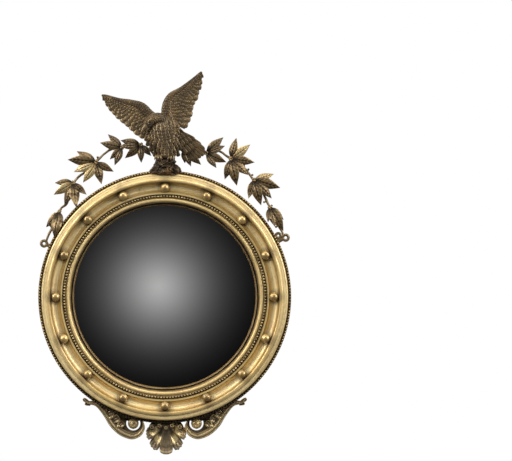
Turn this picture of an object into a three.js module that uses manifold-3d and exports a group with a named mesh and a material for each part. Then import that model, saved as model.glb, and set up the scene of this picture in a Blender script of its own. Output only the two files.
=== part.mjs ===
// Girandole mirror: a round convex looking glass in a turned and gilded frame, with bead
// rows, sixteen balls in a hollow, an eagle on a rock, two leaf garlands and a carved apron.
// Units are millimetres, +Z is up and the mirror faces -Y. The origin is on the turning axis
// of the frame, in the plane of the wall, which is the outer face of the backboard.
import * as THREE from 'three';
import { mergeVertices } from 'three/addons/utils/BufferGeometryUtils.js';
import Module from 'manifold-3d';

const wasm = await Module();
wasm.setup();

// ---- driving dimensions -------------------------------------------------------------
// Depths are forward of the frame's flat back. The turned sections are laid out from the
// rim inwards, so each radius follows from the widths of the mouldings outside it.
const FIT = 0.3;                 // gap between pieces that touch
const BALL_COUNT = 16;
const TURN_STEPS = 3 * BALL_COUNT;

const RIM_R = 280;               // outside of the outer bead row
const SIDE_SET = 5;              // the frame's side lies this far inside the rim
const SIDE_DEPTH = 22;           // straight part of the side
const BEAD_R = 3;                // one bead
const BEAD_NECK = 0.4;           // height of the row between two beads, to a bead's
const BEAD_PITCH = 6.5;          // least distance from bead to bead
const BEAD_SEAT = 28.7;          // depth of both bead seats
const OUTER_QUIRK = 1.5;         // flat between the outer beads and the outer reed
const LIP_HALF = 4;              // outer reed
const LIP_DEPTH = 40;
const REED_GAP = 2.3;            // groove between the two reeds
const REED_GROOVE_DEPTH = 42.8;  // its floor
const TORUS_HALF = 5;            // big reed beside the hollow
const TORUS_DEPTH = 45;
const BALL_R = 10.25;
const BALL_DEPTH = 38.5;         // middle of a ball
const HOLLOW_EASE = 0.55;        // the hollow is this much wider than a ball
const HOLLOW_EDGE = 0.1;         // arris between the hollow and the big reed
const FILLET_DEPTH = 34.8;       // flat fillet between the hollow and the inner beads
const FILLET_WIDTH = 4.4;
const INNER_QUIRK = 2.45;        // flat outside the inner beads

const SIGHT_BACK = 14.3;
const SIGHT_QUIRK = 1.3;         // flat between the inner beads and the sight ring's reed
const SIGHT_TORUS_HALF = 3.5;
const SIGHT_EDGE = 2.2;          // flat inside that reed
const SLIP_WIDTH = 4.2;          // black slip next to the glass
const SLIP_FRONT = 20.5;
const GLASS_LAP = 6.5;           // the glass reaches this far behind the sight ring
const GLASS_THICK = 3.5;
const GLASS_CURVE = 800;         // radius of the glass's curve
const REBATE_PLAY = 2.3;         // room round the glass

const BOARD_LAP = 13.7;          // the backboard reaches this far over the frame's back
const BOARD_THICK = 12;
const BLOCK_LENGTH = 30;         // glazing blocks behind the glass
const BLOCK_WIDTH = 8;
const BLOCK_COUNT = 4;

const SCREW_SIDES = 7;
const SCREW_R = 2;
const SCREW_HEAD_R = 4.2;
const SCREW_HEAD_DEEP = 2.4;
const SCREW_BITE = 9;            // length of a screw inside the frame
const SCREW_SINK = 0.5;          // its head lies this far below the wood it holds

const HANGER_ANGLE = 59;         // degrees from the top, on both sides
const HANGER_SET = 21;           // middle of a hanger to the frame's side
const STRAP_WIDTH = 16;
const STRAP_LENGTH = 42;
const STRAP_THICK = 1.6;
const KNUCKLE_R = 3.3;
const KNUCKLE_LENGTH = 12;
const WIRE_R = 1.5;              // wire of the hanging ring
const WIRE_PLAY = 0.4;
const RING_HALF_WIDTH = 10;
const RING_DROP = 20;            // from the hinge to the bottom of the bow

const ROCK_RISE = 28;            // top of the rock above the rim
const ROCK_DROP = 11;            // and its foot below it
const ROCK_FRONT = 56;
const CREST_STRAP_WIDTH = 18;
const CREST_STRAP_THICK = 3;

const STEM_R = 2.6;              // iron stem of a garland
const STEM_DEPTH = 14;
const EYE_R = 9.5;               // pierced eye at the end of a stem
const EYE_HOLE_R = 3;
const EYE_THICK = 6;
const LEAF_THICK = 2.1;

const APRON_DEPTH = 20;          // middle of the carved apron
const GROOVE_GAP = 0.4;          // apron, rock and leaves to the rim

// ---- radii that follow --------------------------------------------------------------
const degrees = THREE.MathUtils.radToDeg;
const radians = THREE.MathUtils.degToRad;
const bodyR = RIM_R - SIDE_SET;
const outerRowR = RIM_R - BEAD_R;
const lipR = outerRowR - BEAD_R - OUTER_QUIRK - LIP_HALF;
const torusR = lipR - LIP_HALF - REED_GAP - TORUS_HALF;
const hollowR = BALL_R + HOLLOW_EASE;
const ballRingR = torusR - TORUS_HALF - HOLLOW_EDGE - hollowR;
const hollowEnd = 180 - degrees(Math.asin((BALL_DEPTH - FILLET_DEPTH) / hollowR));
const filletR = ballRingR - hollowR * Math.cos(radians(180 - hollowEnd)) - FILLET_WIDTH;
const sightOuterR = filletR - FIT;
const innerRowR = sightOuterR - INNER_QUIRK - BEAD_R;
const sightTorusR = innerRowR - BEAD_R - SIGHT_QUIRK - SIGHT_TORUS_HALF;
const sightR = sightTorusR - SIGHT_TORUS_HALF - SIGHT_EDGE;
const glassR = sightR + GLASS_LAP;
const rebateR = glassR + REBATE_PLAY;
const boardR = rebateR + BOARD_LAP;
const boardScrewR = (rebateR + boardR) / 2;
const hangerRingR = bodyR - HANGER_SET;
const rockTop = RIM_R + ROCK_RISE;
const rockBottom = RIM_R - ROCK_DROP;

// The carvings are drawn round a rim of this radius, for a rock of this height. On another
// rim each of their points moves straight out or in with it.
const DRAWN_RIM_R = 280;
const DRAWN_ROCK_TOP = 308;
const eagleLift = rockTop - DRAWN_ROCK_TOP;
function onRim([x, z]) {
  const stretch = 1 + (RIM_R - DRAWN_RIM_R) / Math.hypot(x, z);
  return [x * stretch, z * stretch];
}

// ---- materials ----------------------------------------------------------------------
function finish(color, roughness, metalness) {
  return () => new THREE.MeshStandardMaterial({ color, roughness, metalness });
}
const gilt = finish(0xc09a58, 0.4, 0.85);
const bronzedGilt = finish(0x6f5632, 0.5, 0.7);
const ebonised = finish(0x15110e, 0.35, 0.0);
const silvering = finish(0x8f9494, 0.08, 1.0);
const pine = finish(0x8d6c48, 0.8, 0.0);
const iron = finish(0x45413c, 0.6, 0.8);
const brass = finish(0xa8854a, 0.4, 0.9);

// ---- helpers ------------------------------------------------------------------------
const group = new THREE.Group();

// Y of a depth forward of the frame's flat back.
function depthY(depth) {
  return -BOARD_THICK - depth;
}

function signedVolume(positions, index) {
  let volume = 0;
  const [a, b, c] = [new THREE.Vector3(), new THREE.Vector3(), new THREE.Vector3()];
  for (let i = 0; i < index.length; i += 3) {
    a.fromArray(positions, 3 * index[i]);
    b.fromArray(positions, 3 * index[i + 1]);
    c.fromArray(positions, 3 * index[i + 2]);
    volume += a.dot(b.cross(c)) / 6;
  }
  return volume;
}

// A closed geometry with its corners merged becomes a solid with its faces outwards.
function solid(geometry) {
  geometry.deleteAttribute('normal');
  geometry.deleteAttribute('uv');
  const merged = mergeVertices(geometry, 1e-4);
  const positions = merged.attributes.position.array;
  const index = [];
  const source = merged.index.array;
  for (let i = 0; i < source.length; i += 3) {
    const [a, b, c] = source.slice(i, i + 3);
    if (a !== b && b !== c && c !== a) index.push(a, b, c);
  }
  if (signedVolume(positions, index) < 0) index.reverse();
  return new wasm.Manifold(new wasm.Mesh({
    numProp: 3,
    vertProperties: new Float32Array(positions),
    triVerts: new Uint32Array(index),
  }));
}

function geometryOf(piece) {
  const mesh = piece.getMesh();
  const geometry = new THREE.BufferGeometry();
  geometry.setAttribute('position', new THREE.BufferAttribute(mesh.vertProperties, 3));
  geometry.setIndex(new THREE.BufferAttribute(mesh.triVerts, 1));
  geometry.computeVertexNormals();
  return geometry;
}

function add(name, piece, material) {
  const mesh = new THREE.Mesh(geometryOf(piece), material());
  mesh.name = name;
  group.add(mesh);
  return mesh;
}

function joined(pieces) {
  return pieces.reduce((sum, piece) => sum.add(piece));
}

// The same solid, a little fatter on every side, to cut its neighbours with.
function grown(piece, gap) {
  const shifts = [[gap, 0, 0], [-gap, 0, 0], [0, gap, 0], [0, -gap, 0], [0, 0, gap], [0, 0, -gap]];
  return joined(shifts.map((shift) => piece.translate(shift)));
}

// A turned piece: a closed outline of [radius, depth] points, spun about the Y axis.
function turned(outline, steps = TURN_STEPS) {
  const points = outline.map(([r, depth]) => new THREE.Vector2(r, depthY(depth)));
  if (outline[0][0] > 0) points.push(points[0].clone());
  return solid(new THREE.LatheGeometry(points, steps));
}

function arc(r, depth, radius, from, to, steps) {
  const points = [];
  for (let i = 0; i <= steps; i++) {
    const angle = radians(from + (to - from) * i / steps);
    points.push([r + radius * Math.cos(angle), depth + radius * Math.sin(angle)]);
  }
  return points;
}

// Rings of as many points each, skinned into one closed body. A loop of rings has no ends.
function skinned(rings, loop = false) {
  const sides = rings[0].length;
  const index = [];
  const last = loop ? rings.length : rings.length - 1;
  for (let i = 0; i < last; i++) {
    const a = i * sides;
    const b = ((i + 1) % rings.length) * sides;
    for (let k = 0; k < sides; k++) {
      const n = (k + 1) % sides;
      index.push(a + k, a + n, b + n, a + k, b + n, b + k);
    }
  }
  if (!loop) {
    const end = (rings.length - 1) * sides;
    for (let k = 1; k < sides - 1; k++) index.push(0, k + 1, k, end, end + k, end + k + 1);
  }
  const geometry = new THREE.BufferGeometry();
  const numbers = rings.flat().flatMap((point) => [point.x, point.y, point.z]);
  geometry.setAttribute('position', new THREE.Float32BufferAttribute(numbers, 3));
  geometry.setIndex(index);
  return solid(geometry);
}

// A carved limb: stations of [x, z, depth, half width, half thickness] along a path that
// stays near the plane of the wall, with a section of as many corners as sides.
function limb(stations, sides = 4, loop = false) {
  const count = stations.length;
  const rings = stations.map(([x, z, depth, width, thick], i) => {
    const before = stations[loop ? (i + count - 1) % count : Math.max(i - 1, 0)];
    const after = stations[loop ? (i + 1) % count : Math.min(i + 1, count - 1)];
    const along = new THREE.Vector2(after[0] - before[0], after[1] - before[1]).normalize();
    const ring = [];
    for (let k = 0; k < sides; k++) {
      const angle = Math.PI * (0.5 + 2 * k / sides);
      const across = width * Math.cos(angle);
      const forward = depth + thick * Math.sin(angle);
      ring.push(new THREE.Vector3(x - along.y * across, depthY(forward), z + along.x * across));
    }
    return ring;
  });
  return skinned(rings, loop);
}

// Points on a smooth curve through hand-set [x, z] points.
function smoothPath(points, steps) {
  const curve = new THREE.CatmullRomCurve3(points.map(([x, z]) => new THREE.Vector3(x, 0, z)));
  return curve.getSpacedPoints(steps).map((point) => [point.x, point.z]);
}

// What the rim, its beads and the reeds fill, plus a gap. Carvings that sit on the rim are
// cut by it.
const RIM_SPACE_STEPS = 96;
function rimSpace(gap) {
  const outside = (RIM_R + gap) / Math.cos(Math.PI / RIM_SPACE_STEPS);
  const crown = TORUS_DEPTH + TORUS_HALF + gap;
  return turned([
    [0, -BOARD_THICK - 1],
    [outside, -BOARD_THICK - 1],
    [outside, BEAD_SEAT + FIT + 2 * BEAD_R + gap],
    [lipR + LIP_HALF + 1.2, LIP_DEPTH + LIP_HALF + gap],
    [torusR + TORUS_HALF + 1, crown],
    [0, crown],
  ], RIM_SPACE_STEPS);
}

// ---- turned frame -------------------------------------------------------------------
// The groove's floor runs from the outer reed to the big one.
const grooveStart = degrees(Math.asin((REED_GROOVE_DEPTH - LIP_DEPTH) / LIP_HALF));
const grooveEnd = -degrees(Math.asin((TORUS_DEPTH - REED_GROOVE_DEPTH) / TORUS_HALF));
const frameOutline = [
  [rebateR, 0],
  [bodyR, 0],
  [bodyR, SIDE_DEPTH],
  [bodyR + 1.2, SIDE_DEPTH + 3.6],
  [RIM_R - 0.8, BEAD_SEAT - 1.4],
  [RIM_R - 0.8, BEAD_SEAT],
  [lipR + LIP_HALF, BEAD_SEAT],
  ...arc(lipR, LIP_DEPTH, LIP_HALF, 0, 180 - grooveStart, 3),
  ...arc(torusR, TORUS_DEPTH, TORUS_HALF, grooveEnd, 165, 3),
  ...arc(ballRingR, BALL_DEPTH, hollowR, 0, -hollowEnd, 6),
  [filletR + FILLET_WIDTH - 0.8, FILLET_DEPTH],
  [filletR, FILLET_DEPTH],
  [filletR, SIGHT_BACK - FIT],
  [rebateR, SIGHT_BACK - FIT],
];

const sightOutline = [
  [sightOuterR, SIGHT_BACK],
  [sightOuterR, BEAD_SEAT],
  [sightTorusR + SIGHT_TORUS_HALF + 0.4, BEAD_SEAT],
  ...arc(sightTorusR, BEAD_SEAT - 1, SIGHT_TORUS_HALF, 10, 170, 3),
  [sightR + 1.2, BEAD_SEAT - 1.6],
  [sightR, BEAD_SEAT - 3.4],
  [sightR, SIGHT_BACK],
];

// ---- fasteners ----------------------------------------------------------------------
// A countersunk screw driven forward from the back: its head's face is at a given depth.
function screw(x, z, headDepth, length) {
  const outline = [
    [0, 0],
    [SCREW_HEAD_R, 0],
    [SCREW_HEAD_R, 0.4],
    [SCREW_R, SCREW_HEAD_DEEP],
    [SCREW_R, length - 2],
    [0, length],
  ];
  const points = outline.map(([r, along]) => new THREE.Vector2(r, -along));
  return solid(new THREE.LatheGeometry(points, SCREW_SIDES)).translate([x, depthY(headDepth), z]);
}

// The hole for such a screw, wider by the fit all round and open behind its head.
function screwHole(x, z, headDepth, length) {
  const outline = [
    [0, -BOARD_THICK],
    [SCREW_HEAD_R + FIT, -BOARD_THICK],
    [SCREW_HEAD_R + FIT, 0.4 + FIT],
    [SCREW_R + FIT, SCREW_HEAD_DEEP + FIT],
    [SCREW_R + FIT, length + FIT],
    [0, length + FIT],
  ];
  const points = outline.map(([r, along]) => new THREE.Vector2(r, -along));
  return solid(new THREE.LatheGeometry(points, SCREW_SIDES)).translate([x, depthY(headDepth), z]);
}

function ringPlaces(count, radius, firstAngle) {
  return Array.from({ length: count }, (_, i) => {
    const angle = radians(firstAngle + i * 360 / count);
    return { x: radius * Math.sin(angle), z: radius * Math.cos(angle), angle };
  });
}

const boardScrewHead = -BOARD_THICK + SCREW_SINK;
const boardScrewLength = -boardScrewHead + SCREW_BITE;
const boardScrews = ringPlaces(4, boardScrewR, 45)
  .map(({ x, z }) => [x, z, boardScrewHead, boardScrewLength]);

const strapBack = -FIT - STRAP_THICK;
const hangerX = hangerRingR * Math.sin(radians(HANGER_ANGLE));
const hangerZ = hangerRingR * Math.cos(radians(HANGER_ANGLE)) + STRAP_LENGTH / 2;
const hangerScrews = [-1, 1].flatMap((side) => [0.66, 0.9].map((share) => (
  [side * hangerX, hangerZ - share * STRAP_LENGTH, strapBack - 0.6, SCREW_BITE + 2])));

const crestStrapBottom = boardR + 5;
const crestStrapTop = rockTop - 8;
const crestScrew = [0, (crestStrapBottom + bodyR) / 2 - 4, -FIT - CREST_STRAP_THICK - 0.6,
  SCREW_BITE + CREST_STRAP_THICK];

const frameHoles = [...boardScrews, ...hangerScrews, crestScrew].map((s) => screwHole(...s));
add('frame_ring', turned(frameOutline).subtract(joined(frameHoles)), gilt);
add('sight_ring', turned(sightOutline), gilt);
boardScrews.forEach((place, i) => add(`backboard_screw_${i + 1}`, screw(...place), iron));
hangerScrews.forEach((place, i) => add(`hanger_screw_${i + 1}`, screw(...place), brass));
add('crest_strap_screw', screw(...crestScrew), iron);

// ---- bead rows ----------------------------------------------------------------------
// One strip of carved beads each: a bead's crest stands between two necks, on a flat back.
function beadRow(radius) {
  const count = Math.floor(2 * Math.PI * radius / BEAD_PITCH);
  const points = [];
  const index = [];
  for (let i = 0; i < count; i++) {
    const place = (turn, out, up) => {
      const angle = 2 * Math.PI * turn / count;
      const r = radius + out;
      points.push(r * Math.sin(angle), depthY(BEAD_SEAT + FIT + up), r * Math.cos(angle));
    };
    place(i - 0.5, -BEAD_R, 0);
    place(i - 0.5, 0, 2 * BEAD_R * BEAD_NECK);
    place(i - 0.5, BEAD_R, 0);
    place(i, 0, 2 * BEAD_R);
    const [inner, neck, outer, crest] = [4 * i, 4 * i + 1, 4 * i + 2, 4 * i + 3];
    const [nextInner, nextNeck, nextOuter] = [inner, neck, outer].map((n) => (n + 4) % (4 * count));
    index.push(inner, neck, crest, inner, crest, nextInner, nextInner, crest, nextNeck);
    index.push(outer, crest, neck, outer, nextOuter, crest, nextOuter, nextNeck, crest);
    index.push(inner, nextInner, outer, outer, nextInner, nextOuter);
  }
  const geometry = new THREE.BufferGeometry();
  geometry.setAttribute('position', new THREE.Float32BufferAttribute(points, 3));
  geometry.setIndex(index);
  return solid(geometry);
}
add('outer_beading', beadRow(outerRowR), gilt);
add('inner_beading', beadRow(innerRowR), gilt);

// ---- balls in the hollow ------------------------------------------------------------
ringPlaces(BALL_COUNT, ballRingR, 0).forEach(({ x, z }, i) => {
  const ball = solid(new THREE.SphereGeometry(BALL_R, 8, 5));
  const name = `ball_${String(i + 1).padStart(2, '0')}`;
  add(name, ball.translate([x, depthY(BALL_DEPTH), z]), gilt);
});

// ---- glass, slip, blocks and backboard ----------------------------------------------
// Height of the curved glass above its edge, at a radius.
function glassRise(r) {
  return Math.sqrt(GLASS_CURVE ** 2 - r ** 2) - Math.sqrt(GLASS_CURVE ** 2 - glassR ** 2);
}
const glassEdge = SIGHT_BACK - FIT - glassRise(sightR);
const slipInnerR = sightR - SLIP_WIDTH - FIT;

const GLASS_RINGS = 4;
const glassOutline = [];
for (let i = 0; i <= GLASS_RINGS; i++) {
  const r = glassR * i / GLASS_RINGS;
  glassOutline.push([r, glassEdge + glassRise(r)]);
}
for (let i = GLASS_RINGS; i >= 0; i -= 2) {
  const r = glassR * i / GLASS_RINGS;
  glassOutline.push([r, glassEdge - GLASS_THICK + glassRise(r)]);
}
add('convex_glass', turned(glassOutline), silvering);

const slipBack = glassEdge + glassRise(slipInnerR) + FIT;
add('ebonised_slip', turned([
  [slipInnerR, slipBack],
  [sightR - FIT, slipBack],
  [sightR - FIT, SLIP_FRONT],
  [slipInnerR + 1.2, SLIP_FRONT],
  [slipInnerR, SLIP_FRONT - 1.6],
]), ebonised);

const blockThick = glassEdge - GLASS_THICK - 2 * FIT;
const blockR = (rebateR - FIT) * Math.cos(Math.PI / TURN_STEPS) - BLOCK_WIDTH / 2 - 0.6;
ringPlaces(BLOCK_COUNT, blockR, 45 + 22.5).forEach(({ x, z, angle }, i) => {
  const block = solid(new THREE.BoxGeometry(BLOCK_LENGTH, blockThick, BLOCK_WIDTH));
  const turnedBlock = block.rotate([0, degrees(angle), 0]);
  add(`glazing_block_${i + 1}`, turnedBlock.translate([x, depthY(FIT + blockThick / 2), z]), pine);
});

const board = turned([[0, -FIT], [boardR, -FIT], [boardR, -BOARD_THICK], [0, -BOARD_THICK]]);
add('backboard', board.subtract(joined(boardScrews.map((s) => screwHole(...s)))), pine);

// ---- ring hangers -------------------------------------------------------------------
const pivotDepth = strapBack - WIRE_R - WIRE_PLAY;

// The D-shaped ring hangs from its straight bar, which turns in the strap's rolled end.
function hangingRing(side) {
  const cx = side * hangerX;
  const bow = RING_HALF_WIDTH;
  const stations = [[-bow + 2, 0], [0, 0], [bow - 2, 0], [bow, -2]];
  const drop = RING_DROP - bow;
  for (let i = 0; i <= 6; i++) {
    const angle = -Math.PI * i / 6;
    stations.push([bow * Math.cos(angle), -drop + bow * Math.sin(angle)]);
  }
  stations.push([-bow, -2]);
  return limb(stations.map(([x, z]) => (
    [cx + x, hangerZ + z, pivotDepth, WIRE_R, WIRE_R])), 6, true);
}

for (const [side, hand] of [[-1, 'left'], [1, 'right']]) {
  const strapShape = [
    [0, 0.5, KNUCKLE_LENGTH / 2],
    [0, -6, KNUCKLE_LENGTH / 2],
    [0, -12, STRAP_WIDTH / 2],
    [0, -STRAP_LENGTH + 5, STRAP_WIDTH / 2],
    [0, -STRAP_LENGTH, STRAP_WIDTH / 4],
  ];
  const rings = strapShape.map(([x, z, half]) => [[-half, 0], [half, 0], [half, 1], [-half, 1]]
    .map(([across, back]) => new THREE.Vector3(
      side * hangerX + x + across, depthY(strapBack + back * STRAP_THICK), hangerZ + z)));
  const roll = new THREE.Shape().absarc(0, 0, KNUCKLE_R, 0, 2 * Math.PI);
  roll.holes.push(new THREE.Path().absarc(0, 0, WIRE_R + WIRE_PLAY, 0, 2 * Math.PI));
  const knuckle = new THREE.ExtrudeGeometry(roll, {
    depth: KNUCKLE_LENGTH, bevelEnabled: false, curveSegments: 4 });
  knuckle.translate(0, 0, -KNUCKLE_LENGTH / 2);
  knuckle.rotateY(Math.PI / 2);
  knuckle.translate(side * hangerX, depthY(pivotDepth), hangerZ);
  const wireWay = new THREE.CylinderGeometry(WIRE_R + WIRE_PLAY, WIRE_R + WIRE_PLAY, 40, 8);
  wireWay.rotateZ(Math.PI / 2);
  wireWay.translate(side * hangerX, depthY(pivotDepth), hangerZ);
  const holes = hangerScrews.filter(([x]) => Math.sign(x) === side).map((s) => screwHole(...s));
  const plate = skinned(rings).add(solid(knuckle)).subtract(solid(wireWay)).subtract(joined(holes));
  add(`hanger_strap_${hand}`, plate, brass);
  add(`hanging_ring_${hand}`, hangingRing(side), brass);
}

// ---- rock and its strap -------------------------------------------------------------
// Levels of the carved rock: height, left and right half widths, front and back depths.
const rockLevels = [
  [rockBottom, 30, 33, ROCK_FRONT - 4, 4],
  [rockBottom + 9, 33, 36, ROCK_FRONT, 2],
  [rockBottom + 20, 29, 30, ROCK_FRONT - 3, 2],
  [rockTop - 10, 30, 27, ROCK_FRONT - 8, 2],
  [rockTop, 24, 22, ROCK_FRONT - 12, 6],
];
const ROCK_SIDES = 12;
const rockRings = rockLevels.map(([z, left, right, front, back], level) => {
  const ring = [];
  for (let k = 0; k < ROCK_SIDES; k++) {
    const angle = 2 * Math.PI * k / ROCK_SIDES;
    const lump = 1 + 0.07 * Math.sin(5 * k + 2.4 * level) - 0.05;
    const wide = Math.cos(angle) > 0 ? right : left;
    const square = Math.max(Math.abs(Math.cos(angle)), Math.abs(Math.sin(angle))) ** -0.5;
    const x = Math.cos(angle) * wide * lump * square;
    const middle = (front + back) / 2;
    const depth = middle + Math.sin(angle) * (front - back) / 2 * Math.min(1, lump * square);
    ring.push(new THREE.Vector3(x, depthY(Math.max(depth, 1)), z + 1.5 * Math.sin(3 * k + level)
      * (level === rockLevels.length - 1 ? 0 : 1)));
  }
  return ring;
});
const rim = rimSpace(GROOVE_GAP);
const rock = skinned(rockRings).subtract(rim);
add('rock_plinth', rock, bronzedGilt);

const strapSolid = solid(new THREE.BoxGeometry(
  CREST_STRAP_WIDTH, CREST_STRAP_THICK, crestStrapTop - crestStrapBottom));
const strapMiddle = [0, depthY(-FIT - CREST_STRAP_THICK / 2), (crestStrapTop + crestStrapBottom) / 2];
add('crest_strap', strapSolid.translate(strapMiddle).subtract(screwHole(...crestScrew)), iron);

// ---- eagle --------------------------------------------------------------------------
// The body is carved whole with the head, legs and tail; the wings are let in behind it.
const tailFeathers = [[90, 324], [89, 315], [84, 308], [76, 303], [67, 300]];
const eagleParts = [
  limb([[4, DRAWN_ROCK_TOP + FIT, 35, 18, 12], [4, 315, 35, 20, 14], [-1, 337, 33, 33, 20],
    [-5, 362, 33, 32, 22], [-8, 390, 33, 21, 18], [-15, 406, 34, 6, 7]], 8),
  limb([[-4, 386, 37, 16, 15], [-20, 396, 41, 14, 13], [-33, 390, 46, 12, 11],
    [-40, 380, 49, 9, 9], [-43, 373, 50, 5, 5]], 7),
  limb([[-40, 380, 50, 6, 5.6], [-47, 371, 52, 4.6, 4.4], [-50, 363, 52.5, 3, 2.6],
    [-49, 357, 52, 0.6, 0.6]], 5),
  limb([[20, 360, 30, 16, 14], [46, 346, 30, 13, 9], [64, 333, 30, 8, 5]], 6),
  ...tailFeathers.map(([x, z], i) => limb([[30, 353 - 2 * i, 29, 6, 3.2],
    [(30 + x) / 2, (352 + z) / 2 - i, 28 - i * 0.4, 7, 3], [x - 6, z + 4, 27, 7, 2.4],
    [x, z, 27, 2.5, 1]])),
];
const CLAW = [2.6, 7, 2.8];      // half sizes of one claw
for (const leg of [-14, 14]) {
  for (const spread of [-32, 0, 32]) {
    const claw = solid(new THREE.SphereGeometry(1, 5, 3)).scale(CLAW).translate([0, -CLAW[1], 0]);
    eagleParts.push(claw.rotate([0, 0, spread])
      .translate([leg, depthY(36), DRAWN_ROCK_TOP + FIT + CLAW[2]]));
  }
}
const eagle = joined(eagleParts).translate([0, 0, eagleLift]);
add('eagle_body', eagle, bronzedGilt);

// A wing: an arm along its leading edge, feathers from the arm to their tips, and the
// coverts, a thin web that closes the upper part between the feathers.
const FEATHER_HALF = 9;
const COVERT_SHARE = 0.86;
function wing(arm, tips) {
  const path = new THREE.CatmullRomCurve3(arm.map(([x, z, depth]) => new THREE.Vector3(x, depth, z)));
  const rootAt = (i) => path.getPoint(0.93 - 0.9 * i / (tips.length - 1));
  const covertRings = tips.map(([x, z], i) => {
    const root = rootAt(i);
    const endX = root.x + (x - root.x) * COVERT_SHARE;
    const endZ = root.z + (z - root.z) * COVERT_SHARE;
    const section = [[root.x, root.y + 2.5, root.z], [root.x, root.y - 2.5, root.z],
      [endX, root.y - 3.2, endZ], [endX, root.y - 0.8, endZ]];
    return section.map(([px, depth, pz]) => new THREE.Vector3(px, depthY(depth), pz));
  });
  const pieces = [limb(arm, 6), skinned(covertRings)];
  tips.forEach(([x, z], i) => {
    const root = rootAt(i);
    const depth = root.y - 1.6 - (i % 2) * 1.1;
    const at = (share) => [root.x + (x - root.x) * share, root.z + (z - root.z) * share];
    pieces.push(limb([
      [...at(0.1), depth, FEATHER_HALF * 0.8, 2.6],
      [...at(0.75), depth - 0.6, FEATHER_HALF, 2.2],
      [...at(1), depth, FEATHER_HALF * 0.3, 0.8],
    ], 3));
  });
  return joined(pieces).translate([0, 0, eagleLift]);
}

const leftArm = [[-14, 386, 26, 13, 7], [-34, 402, 25, 12, 7], [-52, 420, 24, 11, 6],
  [-76, 429, 22, 8, 5], [-102, 434, 20, 6, 4], [-128, 443, 18, 3.8, 2.6], [-140.5, 447.4, 17, 1, 0.9]];
const leftTips = [[-135, 433], [-124, 415], [-108, 397], [-94, 384], [-80, 371], [-66, 360],
  [-55, 352]];
const rightArm = [[10, 384, 26, 13, 7], [4, 404, 25, 12, 7], [5, 426, 24, 11, 6],
  [14, 445, 22, 8, 5], [36, 459, 20, 6, 4], [60, 478, 18, 5, 3.4], [82, 499.5, 16, 1.6, 1.2]];
const rightTips = [[84.5, 488], [82.5, 468], [77, 450], [71, 434], [67, 419], [63, 404],
  [57, 391], [53, 378]];
const eagleSpace = grown(eagle, FIT);
add('wing_left', wing(leftArm, leftTips).subtract(eagleSpace), bronzedGilt);
add('wing_right', wing(rightArm, rightTips).subtract(eagleSpace), bronzedGilt);

// ---- garlands -----------------------------------------------------------------------
// Stems as [x, z] points, from the rock to the pierced eye on the side of the frame. The
// second eye, where there is one, is placed from the first.
const garlands = [
  {
    hand: 'left', side: -1, eye: [-267.5, 118], second: null,
    stem: [[-14, 300], [-30, 322], [-50, 334], [-91, 334], [-124, 324], [-152, 300], [-176, 277],
      [-195, 262], [-206, 241], [-217, 208], [-233, 192], [-246, 160], [-258, 136], [-262, 124]],
    sprays: [
      { along: 44, out: 61, leaves: [[17, 44], [-29, 42], [-84, 35]] },
      { along: 78, out: 64, leaves: [[56, 43], [26, 50], [-25, 38], [-50, 43]] },
      { along: 132, out: 55, leaves: [[55, 49], [35, 63], [3, 54], [-34, 54], [-76, 51], [-121, 44]] },
      { along: 189, out: 44, leaves: [[41, 41], [6, 51], [-33, 54], [-57, 56], [-96, 40]] },
      { along: 250, out: 20, leaves: [[6, 37], [-1, 45], [-26, 58], [-54, 28]] },
    ],
  },
  {
    hand: 'right', side: 1, eye: [268, 131], second: [-16.5, 4.5],
    stem: [[14, 300], [24, 322], [44, 328], [89, 319], [117, 324], [143, 308], [172, 290],
      [196, 260], [215, 234], [228, 208], [236, 190], [247, 166], [258, 148], [263, 137]],
    sprays: [
      { along: 35, out: 50, leaves: [[-75, 28], [-62, 41], [-32, 52]] },
      { along: 78, out: 51, leaves: [[61, 52], [39, 45], [-11, 49], [-40, 40]] },
      { along: 125, out: 59, leaves: [[102, 48], [59, 53], [17, 53], [-78, 48], [-53, 61], [-21, 52]] },
      { along: 182, out: 46, leaves: [[50, 46], [21, 61], [-6, 57], [-71, 44], [-40, 59]] },
      { along: 242, out: 26, leaves: [[9, 41], [-8, 60], [-29, 45], [-51, 34]] },
    ],
  },
];

// Leaves that reach the rim pass in front of its beads.
const RIM_CLIMB = 14;
const rimFront = BEAD_SEAT + 2 * BEAD_R + 3;
const leafBack = STEM_DEPTH + STEM_R + FIT + LEAF_THICK;
function leafDepth(x, z) {
  const near = THREE.MathUtils.smoothstep(RIM_R + RIM_CLIMB - Math.hypot(x, z), 0, RIM_CLIMB - 2);
  return leafBack + near * (rimFront - leafBack);
}

// One leaf: narrow at its foot, widest past a third, with a raised rib and an arched back.
function leaf(baseX, baseZ, direction, length) {
  const shape = [[0.07, 0.035, 1, 0], [0.36, 0.2, 0.9, 2], [0.7, 0.15, 0.7, 4], [1, 0.015, 0.25, 1]];
  return limb(shape.map(([share, width, thick, arch]) => {
    const x = baseX + share * length * direction.x;
    const z = baseZ + share * length * direction.y;
    return [x, z, leafDepth(x, z) + arch, width * length, thick * LEAF_THICK];
  }), 3);
}

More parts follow.
